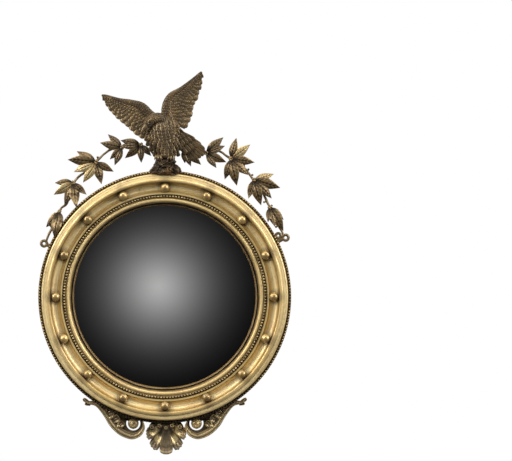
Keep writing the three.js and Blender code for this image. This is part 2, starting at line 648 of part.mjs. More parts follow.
const rockSpace = grown(rock, FIT);
for (const { hand, side, eye, second, stem, sprays } of garlands) {
  const [eyeX, eyeZ] = onRim(eye);
  const path = smoothPath(stem.map(onRim), 22).map(([x, z]) => [x, z, STEM_DEPTH, STEM_R, STEM_R]);
  const eyes = second
    ? [[eyeX, eyeZ], [eyeX + second[0], eyeZ + second[1]]]
    : [[eyeX, eyeZ]];
  const eyeSolids = eyes.map(([x, z], i) => {
    const disc = new THREE.CylinderGeometry(EYE_R - i, EYE_R - i, EYE_THICK, 14);
    return solid(disc).translate([x, depthY(STEM_DEPTH), z]);
  });
  const eyeHoles = eyes.map(([x, z], i) => {
    const hole = new THREE.CylinderGeometry(EYE_HOLE_R - i, EYE_HOLE_R - i, 3 * EYE_THICK, 10);
    return solid(hole).translate([x, depthY(STEM_DEPTH), z]);
  });
  // A lug from the eye to the side of the frame.
  const eyeR = Math.hypot(eyeX, eyeZ);
  const foot = (bodyR + FIT) / eyeR;
  const lug = limb([[eyeX * foot, eyeZ * foot, STEM_DEPTH, 4, 2.6],
    [eyeX * 0.985, eyeZ * 0.985, STEM_DEPTH, 5, 2.6]], 6);
  const frameSide = turned([[0, -20], [bodyR + FIT, -20], [bodyR + FIT, 60], [0, 60]], 96);
  const whole = joined([limb(path, 5), lug, ...eyeSolids]);
  const cut = joined([...eyeHoles, frameSide, rockSpace]);
  add(`garland_stem_${hand}`, whole.subtract(cut), bronzedGilt);
  sprays.forEach(({ along, out, leaves }, i) => {
    const angle = along / DRAWN_RIM_R;
    const base = new THREE.Vector2(side * Math.sin(angle), Math.cos(angle))
      .multiplyScalar(RIM_R + out);
    const pieces = leaves.map(([bearing, length]) => {
      const turn = radians(bearing);
      const direction = new THREE.Vector2(
        side * Math.cos(angle) * Math.cos(turn) + side * Math.sin(angle) * Math.sin(turn),
        -Math.sin(angle) * Math.cos(turn) + Math.cos(angle) * Math.sin(turn),
      );
      return leaf(base.x, base.y, direction, length);
    });
    const knot = solid(new THREE.SphereGeometry(5.5, 6, 4)).scale([1, 0.55, 1]);
    pieces.push(knot.translate([base.x, depthY(leafBack + 1), base.y]));
    const cutters = [rim, eagleSpace, rockSpace];
    add(`garland_${hand}_leaves_${i + 1}`, joined(pieces).subtract(joined(cutters)), bronzedGilt);
  });
}

// ---- apron --------------------------------------------------------------------------
// A shell-like leaf in the middle, with a rolled lip, and a leafy scroll on each side.
const apronTop = onRim([3, -284]);
const shellTips = [[-41, -306], [-35, -324], [-24, -339], [3, -349.5], [30, -338], [43, -323],
  [48, -303]].map(onRim);
const shellParts = shellTips.map(([x, z], i) => {
  const middle = i === 3;
  const half = middle ? 16 : 9;
  const [topX, topZ] = [apronTop[0] + (x - apronTop[0]) * 0.16, apronTop[1]];
  const at = (share) => [topX + (x - topX) * share, topZ + (z - topZ) * share];
  return limb([
    [...at(0), APRON_DEPTH + 6, half * 0.8, 9],
    [...at(0.45), APRON_DEPTH + 4, half, 8],
    [...at(0.8), APRON_DEPTH + 5, half * 0.86, 6],
    [...at(1), APRON_DEPTH + (middle ? 12 : 8), half * 0.3, 1.6],
  ], 4);
});
for (const x of [-24, -9, 14, 29]) {
  const lobe = [[-298, 30, 6, 10], [-286, 38, 7.5, 9], [-275, 45, 3, 4]];
  shellParts.push(limb(lobe.map(([z, ...rest]) => [...onRim([x, z]), ...rest]), 5));
}
const shell = joined(shellParts).subtract(rim);
add('apron_leaf', shell, bronzedGilt);

// A scroll, drawn for the right side: a sawn web between the rim and the outer curve, pierced
// by a crescent round the volute's boss, with a raised band and folds of leaf on it.
const SCROLL_CURVE = [[181, -225], [170, -236], [154, -241], [143, -252], [132, -268], [121, -286],
  [105, -302], [89, -311], [71, -315], [54, -308], [46, -296], [45, -284]].map(onRim);
const VOLUTE = onRim([70, -281]);
const VOLUTE_BOSS_R = 11.8;
const CRESCENT_WIDTH = 3.8;
const BAND_HALF = 5;
const WEB_BACK = 6;
const WEB_FRONT = 19;
function scroll(side) {
  const outer = smoothPath(SCROLL_CURVE, 17);
  const shape = new THREE.Shape(outer.map(([x, z]) => new THREE.Vector2(x, z)));
  shape.lineTo(...onRim([52, -262]));
  shape.lineTo(...onRim([120, -235]));
  const crescent = new THREE.Path();
  const [vx, vz] = VOLUTE;
  const outerR = VOLUTE_BOSS_R + CRESCENT_WIDTH;
  crescent.absarc(vx, vz, outerR, radians(-205), radians(25), false);
  crescent.absarc(vx, vz, VOLUTE_BOSS_R, radians(20), radians(-200), true);
  shape.holes.push(crescent);
  const web = new THREE.ExtrudeGeometry(shape, {
    depth: WEB_FRONT - WEB_BACK, bevelEnabled: false, curveSegments: 5 });
  web.rotateX(Math.PI / 2);
  web.translate(0, depthY(WEB_BACK), 0);
  const flat = solid(web);
  const boss = solid(new THREE.SphereGeometry(VOLUTE_BOSS_R, 10, 6));
  const bandPoints = smoothPath(SCROLL_CURVE, 13);
  const band = bandPoints.map(([x, z], i) => {
    const before = bandPoints[Math.max(i - 1, 0)];
    const after = bandPoints[Math.min(i + 1, bandPoints.length - 1)];
    const inward = new THREE.Vector2(after[1] - before[1], before[0] - after[0]).normalize();
    const half = BAND_HALF * (0.5 + 0.5 * Math.sin(Math.PI * i / (bandPoints.length - 1)));
    return [x + inward.x * half, z + inward.y * half, APRON_DEPTH, half, 6 + half * 0.6];
  });
  const pieces = [
    flat,
    limb(band, 5),
    boss.translate([vx, depthY(APRON_DEPTH), vz]),
  ];
  const folds = [[92, -272, 103, -300], [101, -262, 124, -277], [116, -256, 150, -240]];
  folds.forEach(([x, z, endX, endZ]) => pieces.push(limb([
    [...onRim([x, z]), APRON_DEPTH - 2, 4, 5],
    [...onRim([(x + endX) / 2, (z + endZ) / 2]), APRON_DEPTH + 2, 8, 8],
    [...onRim([endX, endZ]), APRON_DEPTH, 3, 4]], 4)));
  const whole = joined(pieces);
  const placed = side > 0 ? whole : whole.mirror([1, 0, 0]);
  return placed.subtract(joined([rim, grown(shell, FIT)]));
}
add('apron_scroll_left', scroll(-1), bronzedGilt);
add('apron_scroll_right', scroll(1), bronzedGilt);

export default group;
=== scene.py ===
"""Girandole mirror: the looks of a round convex mirror in a turned, gilded frame with an eagle
crest, leaf garlands and a carved apron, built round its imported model."""
import math

import bmesh
import bpy
import numpy as np
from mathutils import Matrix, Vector


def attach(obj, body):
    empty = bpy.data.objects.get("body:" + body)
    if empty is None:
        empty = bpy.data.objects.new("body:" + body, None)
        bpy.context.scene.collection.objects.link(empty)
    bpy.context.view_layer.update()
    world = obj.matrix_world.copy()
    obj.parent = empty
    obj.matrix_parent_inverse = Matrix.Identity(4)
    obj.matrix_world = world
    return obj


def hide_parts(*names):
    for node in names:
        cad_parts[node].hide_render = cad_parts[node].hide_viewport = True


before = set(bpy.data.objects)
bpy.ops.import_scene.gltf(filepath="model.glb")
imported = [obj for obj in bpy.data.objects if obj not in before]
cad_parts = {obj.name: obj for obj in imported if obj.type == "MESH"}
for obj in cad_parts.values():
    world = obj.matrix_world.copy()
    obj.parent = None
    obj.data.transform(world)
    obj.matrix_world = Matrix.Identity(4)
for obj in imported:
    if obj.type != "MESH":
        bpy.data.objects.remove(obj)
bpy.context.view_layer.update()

# ---- Camera ---------------------------------------------------------------------------
# A long lens almost level with the middle of the frame. The mirror stands left of and below
# the centre of the picture, so the camera looks past it to the upper right.
PICTURE = (512, 461)
RING_MIDDLE_PX = (164.9, 296.95)
MM_PER_PX = 2.207
CAMERA_DISTANCE = 6.0
CAMERA_RISE = math.radians(1)
SENSOR = 36.0
RING_PLANE = -0.06                # y of the plane in which MM_PER_PX holds, in metres

camera_data = bpy.data.cameras.new("camera")
camera_data.sensor_width = SENSOR
camera_data.lens = SENSOR * CAMERA_DISTANCE * 1000 / (MM_PER_PX * PICTURE[0])
camera_data.clip_end = 60
camera = bpy.data.objects.new("camera", camera_data)
bpy.context.scene.collection.objects.link(camera)
bpy.context.scene.camera = camera
towards = Vector((0, -math.cos(CAMERA_RISE), math.sin(CAMERA_RISE)))
picture_up = Vector((0, math.sin(CAMERA_RISE), math.cos(CAMERA_RISE)))
ring_plane = Vector((0, RING_PLANE, 0))
offset_x = (PICTURE[0] / 2 - RING_MIDDLE_PX[0]) * MM_PER_PX / 1000
offset_up = (RING_MIDDLE_PX[1] - PICTURE[1] / 2) * MM_PER_PX / 1000
camera.location = ring_plane + towards * CAMERA_DISTANCE
aim = ring_plane + Vector((offset_x, 0, 0)) + picture_up * offset_up
camera.rotation_mode = "QUATERNION"
camera.rotation_quaternion = (aim - camera.location).to_track_quat("-Z", "Y")

# ---- Studio ---------------------------------------------------------------------------
# A white backdrop behind the mirror, a dark room with a soft glow in front of it, which the
# convex glass shows, and large soft boxes to the left, to the right and above. A fourth soft
# box, in front, fills the shadows and doesn't show in the glass.
bpy.context.scene.view_settings.view_transform = "Standard"


class Socket:
    """A shader value that can be written in sums."""

    def __init__(self, out, finish):
        self.out, self.finish = out, finish

    def sum(self, operation, *others, swapped=False):
        values = (self, *others)[::-1] if swapped else (self, *others)
        return self.finish.node("ShaderNodeMath", {"operation": operation}, dict(enumerate(values)))

    def __add__(self, other):
        return self.sum("ADD", other)

    def __sub__(self, other):
        return self.sum("SUBTRACT", other)

    def __rsub__(self, other):
        return self.sum("SUBTRACT", other, swapped=True)

    def __mul__(self, other):
        return self.sum("MULTIPLY", other)

    def __truediv__(self, other):
        return self.sum("DIVIDE", other)

    def __pow__(self, other):
        return self.sum("POWER", other)

    __radd__, __rmul__ = __add__, __mul__


class Nodes:
    """A node tree that is written one line per node."""

    def __init__(self, tree):
        self.tree = tree
        tree.nodes.clear()

    def node(self, kind, settings=None, sockets=None, out=0):
        made = self.tree.nodes.new(kind)
        for key, value in (settings or {}).items():
            if key == "stops":
                ramp = made.color_ramp
                while len(ramp.elements) < len(value):
                    ramp.elements.new(0.5)
                for element, (place, colour) in zip(ramp.elements, value):
                    element.position = place
                    element.color = (*colour, 1)
            else:
                setattr(made, key, value)
        for key, value in (sockets or {}).items():
            if isinstance(value, Socket):
                self.tree.links.new(value.out, made.inputs[key])
            else:
                made.inputs[key].default_value = value
        return Socket(made.outputs[out], self) if made.outputs else None


GLOW_AXIS = Vector((-0.0375, -1, 0.044)).normalized()   # near where the glass's middle looks
GLOW_STRENGTH = 0.49
GLOW_FALL = 9.35
ROOM_GREY = 0.62
ROOM_LOW, ROOM_HIGH = 0.16, 1.15                         # the room's share of light, low and high
BACKDROP_GREY = 0.45
ROOM_START, ROOM_FULL = math.radians(36), math.radians(62)         # angles off the glow's axis
BACKDROP_START, BACKDROP_FULL = math.radians(105), math.radians(130)

world = bpy.data.worlds.new("studio")
bpy.context.scene.world = world
world.use_nodes = True
sky = Nodes(world.node_tree)
direction = sky.node("ShaderNodeTexCoord", out="Generated")


def towards_axis(axis):
    return sky.node("ShaderNodeVectorMath", {"operation": "DOT_PRODUCT"}, {0: direction, 1: axis}, "Value")


def eased_range(value, low, high, first, last):
    return sky.node("ShaderNodeMapRange", {"interpolation_type": "SMOOTHSTEP"},
                    {0: value, 1: low, 2: high, 3: first, 4: last})


angle = towards_axis(GLOW_AXIS).sum("MINIMUM", 1.0).sum("MAXIMUM", -1.0).sum("ARCCOSINE")
glow = (angle ** 1.5 * -GLOW_FALL).sum("EXPONENT") * GLOW_STRENGTH
room = eased_range(angle, ROOM_START, ROOM_FULL, 0.0, ROOM_GREY)
room = room * eased_range(towards_axis((0, 0, 1)), -0.8, 0.8, ROOM_LOW, ROOM_HIGH)
backdrop = eased_range(angle, BACKDROP_START, BACKDROP_FULL, 0.0, BACKDROP_GREY)
seen = sky.node("ShaderNodeLightPath", out="Is Camera Ray")
light = (glow + room + backdrop) * (1 - seen) + seen
surround = sky.node("ShaderNodeBackground", {}, {"Color": (1, 1, 1, 1), "Strength": light})
sky.node("ShaderNodeOutputWorld", {}, {"Surface": surround})


def soft_box(name, place, size, watts, in_glass=True):
    lamp = bpy.data.lights.new(name, "AREA")
    lamp.shape = "RECTANGLE"
    lamp.size, lamp.size_y = size
    lamp.energy = watts
    lamp_object = bpy.data.objects.new(name, lamp)
    lamp_object.location = place
    lamp_object.visible_glossy = in_glass
    lamp_object.rotation_mode = "QUATERNION"
    lamp_object.rotation_quaternion = (-Vector(place)).to_track_quat("-Z", "Y")
    bpy.context.scene.collection.objects.link(lamp_object)


soft_box("box_left", (-2.4, -1.5, 1.4), (1.3, 2.0), 62)
soft_box("box_right", (2.5, -1.4, 1.2), (1.3, 2.0), 54)
soft_box("box_above", (0.0, -1.2, 2.5), (2.2, 1.0), 20)
soft_box("fill", (-0.5, -3.4, 1.9), (1.6, 1.6), 64, in_glass=False)

# The floor lies far below the hung mirror and behind what the glass shows. It takes the soft
# shadow and fades into the white of the backdrop. Reflections show it much darker.
FLOOR_DROP = -1.25
FLOOR_CORNERS = ((-4, -0.3), (4, -0.3), (4, 5), (-4, 5))
FLOOR_PALE = (0.82, 0.82, 0.82, 1)
FLOOR_DARK = (0.2, 0.2, 0.2, 1)
SHADOW_MIDDLE = (0.0, 0.7, FLOOR_DROP)
FADE_START, FADE_END = 0.5, 0.98
floor_mesh = bpy.data.meshes.new("floor")
floor_mesh.from_pydata([(x, y, FLOOR_DROP) for x, y in FLOOR_CORNERS], [], [(0, 1, 2, 3)])
floor = bpy.data.objects.new("floor", floor_mesh)
bpy.context.scene.collection.objects.link(floor)
floor_paint = bpy.data.materials.new("floor_paint")
floor_paint.use_nodes = True
paint = Nodes(floor_paint.node_tree)
spot = paint.node("ShaderNodeTexCoord", out="Object")
from_middle = paint.node("ShaderNodeVectorMath", {"operation": "DISTANCE"},
                         {0: spot, 1: SHADOW_MIDDLE}, "Value")
fade = paint.node("ShaderNodeMapRange", {"interpolation_type": "SMOOTHSTEP"},
                  {0: from_middle, 1: FADE_START, 2: FADE_END, 3: 0.0, 4: 1.0})
floor_seen = paint.node("ShaderNodeLightPath", out="Is Camera Ray")
matt = paint.node("ShaderNodeBsdfDiffuse", {}, {"Color": FLOOR_PALE})
dim = paint.node("ShaderNodeBsdfDiffuse", {}, {"Color": FLOOR_DARK})
white = paint.node("ShaderNodeEmission", {}, {"Color": (1, 1, 1, 1), "Strength": 1.0})
lit = paint.node("ShaderNodeMixShader", {}, {0: floor_seen, 1: dim, 2: matt})
floor_look = paint.node("ShaderNodeMixShader", {}, {0: floor_seen * fade, 1: lit, 2: white})
paint.node("ShaderNodeOutputMaterial", {}, {"Surface": floor_look})
floor_mesh.materials.append(floor_paint)

# ---- Turned frame ---------------------------------------------------------------------
# One deep ring turned from pine, gessoed and water gilded over a red-brown bole. From the
# outside in: side, bead seat, thin reed, big reed, hollow for the balls, flat fillet.
MM = 0.001
BACK = 12                         # the frame's flat back stands this far off the wall
RIM_R = 280
BEAD_R = 3
BEAD_SEAT = 28.7
BODY_R = 275
LIP_R, LIP_DEPTH, LIP_HALF = 268.5, 40, 4
TORUS_R, TORUS_DEPTH, TORUS_HALF = 257.2, 45, 5
GROOVE_DEPTH = 43.8
BALL_R = 10.25
BALL_RING_R = 241.3
BALL_DEPTH = 38.5
HOLLOW_R = BALL_R + 0.55
REBATE_R = 216.3
FILLET_DEPTH = 34.8
FILLET_WIDTH = 4.4
TURN_STEPS = 384


def arc(r, depth, radius, start, stop, steps):
    """Points of [radius, depth] on an arc of a turned outline, angles in degrees."""
    turns = np.radians(np.linspace(start, stop, steps + 1))
    return [(r + radius * math.cos(t), depth + radius * math.sin(t)) for t in turns]


def eased(outline, radius, steps=3):
    """The outline with each corner rounded, so that edges catch the light."""
    points = np.array(outline, float)
    out = []
    for i, here in enumerate(points):
        before, after = points[i - 1] - here, points[(i + 1) % len(points)] - here
        back, ahead = np.linalg.norm(before), np.linalg.norm(after)
        if min(back, ahead) < 1.2 * radius:
            out.append(here)
            continue
        a, b = here + before / back * radius, here + after / ahead * radius
        for t in np.linspace(0, 1, steps + 1):
            out.append((1 - t) ** 2 * a + 2 * t * (1 - t) * here + t * t * b)
    return out


def shaped(mesh, sharp=None):
    """Faces turned outwards and smooth, but for the arrises; poles and seams closed."""
    shape = bmesh.new()
    shape.from_mesh(mesh)
    bmesh.ops.remove_doubles(shape, verts=shape.verts, dist=1e-6)
    bmesh.ops.dissolve_degenerate(shape, edges=shape.edges, dist=1e-7)
    bmesh.ops.recalc_face_normals(shape, faces=shape.faces)
    if shape.calc_volume(signed=True) < 0:
        bmesh.ops.reverse_faces(shape, faces=shape.faces)
    shape.to_mesh(mesh)
    shape.free()
    mesh.polygons.foreach_set("use_smooth", [True] * len(mesh.polygons))
    if sharp:
        mesh.set_sharp_from_angle(angle=math.radians(sharp))


class Recipe(Nodes):
    """A geometry tree with named sizes. A piece made by it is kept as a plain mesh."""

    def __init__(self, name, sizes):
        tree = bpy.data.node_groups.new(name, "GeometryNodeTree")
        tree.interface.new_socket("Geometry", in_out="OUTPUT", socket_type="NodeSocketGeometry")
        tree.interface.new_socket("Drawing", in_out="INPUT", socket_type="NodeSocketGeometry")
        self.sockets = {}
        for label, kind in (*sizes, ("Finish", "Material")):
            socket = tree.interface.new_socket(label, in_out="INPUT", socket_type=f"NodeSocket{kind}")
            self.sockets[label] = socket.identifier
        super().__init__(tree)
        given = tree.nodes.new("NodeGroupInput")
        self.given = {label: Socket(given.outputs[label], self) for label in ("Drawing", *self.sockets)}

    def moved(self, geometry, **how):
        return self.node("GeometryNodeTransform", {}, {"Geometry": geometry, **how})

    def ends_in(self, geometry):
        real = self.node("GeometryNodeRealizeInstances", {}, {"Geometry": geometry})
        smooth = self.node("GeometryNodeSetShadeSmooth", {}, {"Geometry": real})
        sockets = {"Geometry": smooth, "Material": self.given["Finish"]}
        self.node("NodeGroupOutput", {}, {"Geometry": self.node("GeometryNodeSetMaterial", {}, sockets)})

    def make(self, name, sizes, points=(), edges=(), sharp=None):
        """Runs the tree once on a drawing of points and edges in metres."""
        drawing = bpy.data.meshes.new(name)
        drawing.from_pydata([tuple(map(float, p)) for p in points], [tuple(map(int, e)) for e in edges], [])
        made = bpy.data.objects.new(name, drawing)
        bpy.context.scene.collection.objects.link(made)
        modifier = made.modifiers.new(name, "NODES")
        modifier.node_group = self.tree
        for label, value in sizes.items():
            modifier[self.sockets[label]] = value
        bpy.context.view_layer.update()
        mesh = bpy.data.meshes.new_from_object(made.evaluated_get(bpy.context.evaluated_depsgraph_get()))
        made.modifiers.clear()
        made.data = mesh
        mesh.name = name
        if sharp:
            shaped(mesh, sharp)
        return made


# The drawing is half of the turned section, (radius, depth) from the wall. The lathe carries
# it round a circle through its middle, which changes none of its radii.
lathe = Recipe("lathe", [("Steps", "Int"), ("Middle radius", "Float")])
middle = lathe.given["Middle radius"]
section_curve = lathe.moved(lathe.node("GeometryNodeMeshToCurve", {}, {"Mesh": lathe.given["Drawing"]}),
                            Translation=lathe.node("ShaderNodeCombineXYZ", {}, {0: middle * -1.0}))
round_path = lathe.node("GeometryNodeCurvePrimitiveCircle", {},
                        {"Resolution": lathe.given["Steps"], "Radius": middle})
swept = lathe.node("GeometryNodeCurveToMesh", {}, {"Curve": round_path, "Profile Curve": section_curve})
lathe.ends_in(lathe.moved(swept, Rotation=(-math.pi / 2, 0, 0)))


def turned(name, outline, finish, steps=TURN_STEPS, sharp=40):
    """An outline of (radius, depth) in millimetres, turned about the mirror's axis. An outline
    that starts on the axis ends on it too."""
    outline = np.array(outline, float)
    count = len(outline)
    drawing = np.column_stack([outline[:, 0], BACK + outline[:, 1], np.zeros(count)]) * MM
    closed = count if outline[0, 0] > 0 else count - 1
    sizes = {"Steps": steps, "Middle radius": float(outline[:, 0].mean()) * MM, "Finish": finish}
    return lathe.make(name, sizes, drawing, [(i, (i + 1) % count) for i in range(closed)], sharp)


def seat(piece, body, slot, *nodes):
    """The finished piece rides on its body and stands for its CAD nodes."""
    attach(piece, body)
    if nodes:
        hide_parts(*nodes)


class Finish(Nodes):
    """A surface: one principled shader, and helpers to read the object's own coordinates."""

    def __init__(self, name, **constants):
        self.material = bpy.data.materials.new(name)
        self.material.use_nodes = True
        super().__init__(self.material.node_tree)
        self.constants = constants
        self.place = self.node("ShaderNodeTexCoord", out="Object")

    def noise(self, scale, detail=4.0, rough=0.55, offset=(0, 0, 0)):
        place = self.node("ShaderNodeMapping", {}, {"Vector": self.place, "Location": offset})
        sockets = {"Vector": place, "Scale": scale, "Detail": detail, "Roughness": rough}
        return self.node("ShaderNodeTexNoise", {}, sockets)

    def ramp(self, value, *stops):
        """A number from a number, straight between (place, value) stops."""
        found = self.node("ShaderNodeValToRGB", {"stops": [(p, (v, v, v)) for p, v in stops]}, {0: value})
        return self.node("ShaderNodeRGBToBW", {}, {0: found})

    def mix(self, factor, first, second):
        first, second = ((*c, 1) if isinstance(c, tuple) else c for c in (first, second))
        return self.node("ShaderNodeMix", {"data_type": "RGBA"}, {0: factor, 6: first, 7: second}, out=2)

    def axis(self, label):
        return self.node("ShaderNodeSeparateXYZ", {}, {0: self.place}, out=label)

    def radius(self):
        x, z = self.axis("X"), self.axis("Z")
        return (x * x + z * z).sum("SQRT") / MM

    def turn(self, parts):
        """Where the surface lies round the axis, in parts of a turn from the top."""
        return self.axis("X").sum("ARCTAN2", self.axis("Z")) * (parts / (2 * math.pi))

    def grain(self, across, along, seed):
        """Old softwood from millimetres across and along its grain: its colour and its fibres."""
        slow = self.node("ShaderNodeCombineXYZ", {}, {0: across * 0.06, 1: along * 0.004, 2: seed})
        drift = self.node("ShaderNodeTexNoise", {}, {"Vector": slow, "Scale": 1.0, "Detail": 3.0})
        fine = self.node("ShaderNodeCombineXYZ", {}, {0: across * 1.6, 1: along * 0.03, 2: seed})
        sockets = {"Vector": fine, "Scale": 1.0, "Detail": 5.0, "Roughness": 0.7}
        fibres = self.node("ShaderNodeTexNoise", {}, sockets)
        bands = (across * 0.11 + drift * 7.0).sum("FRACT")
        late = self.ramp(bands, (0.0, 0.1), (0.72, 0.35), (0.93, 1.0), (1.0, 0.1))
        wood = self.mix(late * 0.75, PINE_EARLY, PINE_LATE)
        wood = self.mix(self.ramp(fibres, (0.35, 0.0), (0.75, 0.6)), wood, PINE_PORES)
        soil = self.ramp(self.noise(14.0, 5.0, 0.65, offset=(2, 8, 5)), (0.45, 0.0), (0.75, 0.55))
        return self.mix(soil, wood, PINE_SOIL), fibres

    def bump(self, height, distance, strength):
        sockets = {"Height": height, "Distance": distance, "Strength": strength}
        return self.node("ShaderNodeBump", {}, sockets)

    def done(self, **changing):
        shader = self.node("ShaderNodeBsdfPrincipled", {}, {
            key.replace("_", " "): (*value, 1) if isinstance(value, tuple) and len(value) == 3 else value
            for key, value in {**self.constants, **changing}.items()})
        self.node("ShaderNodeOutputMaterial", {}, {"Surface": shader})
        return self.material


GOLD_PALE = (0.95, 0.76, 0.39)
GOLD_MID = (0.84, 0.61, 0.23)
GOLD_BROWN = (0.42, 0.25, 0.075)
BOLE_RED = (0.30, 0.115, 0.05)
OCHRE = (0.36, 0.22, 0.075)
GRIME_AND_SHADE = (0.055, 0.031, 0.010)
PINE_EARLY, PINE_LATE = (0.40, 0.26, 0.135), (0.215, 0.12, 0.05)
PINE_PORES, PINE_SOIL = (0.14, 0.08, 0.04), (0.07, 0.045, 0.028)
NOTHING = ()


def gilding(name, painted_highlights=NOTHING, brown_and_shade=NOTHING, rubbed=NOTHING, grime_and_shade=NOTHING, ball_side_shade=None, bare_back=False):
    """Aged water gilding. Rings are (radius, half width, strength) in millimetres: painted highlights
    on crests and in the hollow's middle, brown glaze with painted shade in hollows, edges rubbed to
    the bole, and grime with painted shade in the quirks. Painted shade beside the balls repeats
    round the ring, as (parts of a turn, radius, reach, strength). A bare back is pine behind, with
    ochre over the sides."""
    look = Finish(name, Specular_IOR_Level=0.5, Coat_Roughness=0.3)
    r = look.radius()

    def rings(wanted):
        total = 0.0
        for radius, half, strength in wanted:
            total = total + (1 - (r - radius).sum("ABSOLUTE") / half).sum("MAXIMUM", 0.0) * strength
        return total

    clouds = look.noise(9.0, 3.0)
    patches = look.noise(42.0, 6.0, 0.62, offset=(3, 1, 7))
    specks = look.noise(260.0, 5.0, 0.7, offset=(9, 2, 4))
    lapped = look.node("ShaderNodeCombineXYZ", {},
                       {0: r * 0.34, 1: look.axis("X") * 9.0, 2: look.axis("Z") * 9.0})
    streaks = look.node("ShaderNodeTexNoise", {},
                        {"Vector": lapped, "Scale": 1.0, "Detail": 4.0, "Roughness": 0.6})
    # The pale rings are painted highlights: they lighten the crests and the hollow's middle.
    paler_and_highlit = look.ramp(clouds, (0.34, 0.0), (0.66, 0.55)) + rings(painted_highlights)
    tone = look.mix(paler_and_highlit.sum("MINIMUM", 1.0), GOLD_MID, GOLD_PALE)
    # The brown rings are glaze with painted shade: they darken the hollows and the edges beside them.
    glaze_and_shade = rings(brown_and_shade) * look.ramp(patches, (0.35, 1.2), (0.65, 0.6))
    wash_and_shade = look.ramp(streaks, (0.38, 0.45), (0.58, 0.0)) + glaze_and_shade
    tone = look.mix(wash_and_shade.sum("MINIMUM", 0.9), tone, GOLD_BROWN)
    edges = rings(rubbed) * look.ramp(specks, (0.4, 0.1), (0.6, 1.0))
    bole = look.ramp(patches, (0.52, 0.0), (0.70, 0.30)) + edges
    tone = look.mix((bole * 0.8).sum("MINIMUM", 0.85), tone, BOLE_RED)
    dirt_and_shade = look.ramp(specks, (0.54, 0.0), (0.74, 0.5)) * look.ramp(patches, (0.4, 0.2), (0.6, 1.0))
    # The grime rings darken the quirks with grime and painted shade.
    dirt_and_shade = dirt_and_shade + rings(grime_and_shade) * look.ramp(patches, (0.3, 1.25), (0.7, 0.75))
    # Painted shade beside each ball, on the hollow's outer wall.
    if ball_side_shade:
        parts, ball_side_shade_r, reach, strength = ball_side_shade
        along = ((look.turn(parts) + 0.5).sum("FRACT") - 0.5) * (r * (2 * math.pi / parts))
        from_ball = (along * along + (r - ball_side_shade_r) * (r - ball_side_shade_r)).sum("SQRT")
        dirt_and_shade = dirt_and_shade + look.ramp(from_ball / (2 * reach), (0.0, strength), (0.45, strength), (1.0, 0.0))
    dirt_and_shade = dirt_and_shade.sum("MINIMUM", 1.0)
    tone = look.mix(dirt_and_shade, tone, GRIME_AND_SHADE)
    metal = 0.5 - dirt_and_shade * 0.2 - rings(painted_highlights) * 0.3
    rough = look.ramp(patches, (0.3, 0.34), (0.7, 0.46)) + dirt_and_shade * 0.3
    coat = 0.15 - dirt_and_shade * 0.15
    relief = patches * 0.4 + specks * 0.3 + streaks * 0.5
    if bare_back:
        depth = look.axis("Y") * (-1 / MM) - BACK
        painted = look.ramp(depth / 40, (0.40, 1.0), (0.53, 0.0))
        bare = look.ramp(depth / 40, (0.01, 1.0), (0.03, 0.0))
        turn = look.turn(RING_JOINTS)
        wood, fibres = look.grain(r, turn * 200.0, turn.sum("FLOOR") * 3.7)
        joint = look.ramp(turn.sum("FRACT"), (0.0, 1.0), (0.004, 0.0))
        wood = look.mix(joint, wood, (0.03, 0.02, 0.012))
        tone = look.mix(painted * look.ramp(patches, (0.3, 0.8), (0.6, 1.0)), tone, OCHRE)
        tone = look.mix(bare, tone, wood)
        metal = metal * (1 - painted)
        rough = rough + painted * 0.35
        coat = coat * (1 - painted)
        relief = relief + bare * fibres
    return look.done(Base_Color=tone, Roughness=rough, Metallic=metal, Coat_Weight=coat,
                     Normal=look.bump(relief, 0.0006, 0.35))


hollow_end = 180 - math.degrees(math.asin((BALL_DEPTH - FILLET_DEPTH) / HOLLOW_R))
hollow_inner = BALL_RING_R - HOLLOW_R * math.cos(math.radians(180 - hollow_end))
fillet_r = hollow_inner - FILLET_WIDTH
groove_start = math.degrees(math.asin((GROOVE_DEPTH - LIP_DEPTH) / LIP_HALF))
groove_end = math.degrees(math.asin((GROOVE_DEPTH - TORUS_DEPTH) / TORUS_HALF))
RING_JOINTS = 8                   # sawn pieces that the ring is glued up from
frame_gilding = gilding(
    "frame_gilding",
    painted_highlights=[(265.5, 7.5, 1.0), (243.5, 7.5, 1.0)],
    brown_and_shade=[(253.0, 4.0, 0.7), (233.0, 3.0, 0.5), (262.8, 1.0, 0.3), (228.8, 1.6, 0.2)],
    rubbed=[(268.5, 2.0, 0.35), (257.2, 2.0, 0.15), (251.6, 1.0, 0.4)],
    grime_and_shade=[(273.4, 2.0, 1.0), (263.0, 0.6, 0.15), (252.4, 1.0, 0.5), (231.4, 1.2, 0.7), (226.5, 1.3, 1.0)],
    ball_side_shade=(16, BALL_RING_R + 6.5, 10.5, 0.6), bare_back=True)
frame_ring = turned("gilt_frame_ring", eased([
    (REBATE_R, 0), (BODY_R, 0), (BODY_R, 22), (BODY_R + 1.2, 25.6), (RIM_R - 0.8, 27.3),
    (RIM_R - 0.8, BEAD_SEAT), (LIP_R + LIP_HALF, BEAD_SEAT),
    *arc(LIP_R, LIP_DEPTH, LIP_HALF, 0, 180 - groove_start, 14),
    *arc(TORUS_R, TORUS_DEPTH, TORUS_HALF, groove_end, 165, 18),
    *arc(BALL_RING_R, BALL_DEPTH, HOLLOW_R, 0, -hollow_end, 30),
    (hollow_inner - 0.8, FILLET_DEPTH), (fillet_r, FILLET_DEPTH), (fillet_r, 14), (REBATE_R, 14),
], 0.35), frame_gilding)
seat(frame_ring, "frame", "gilt", "frame_ring")

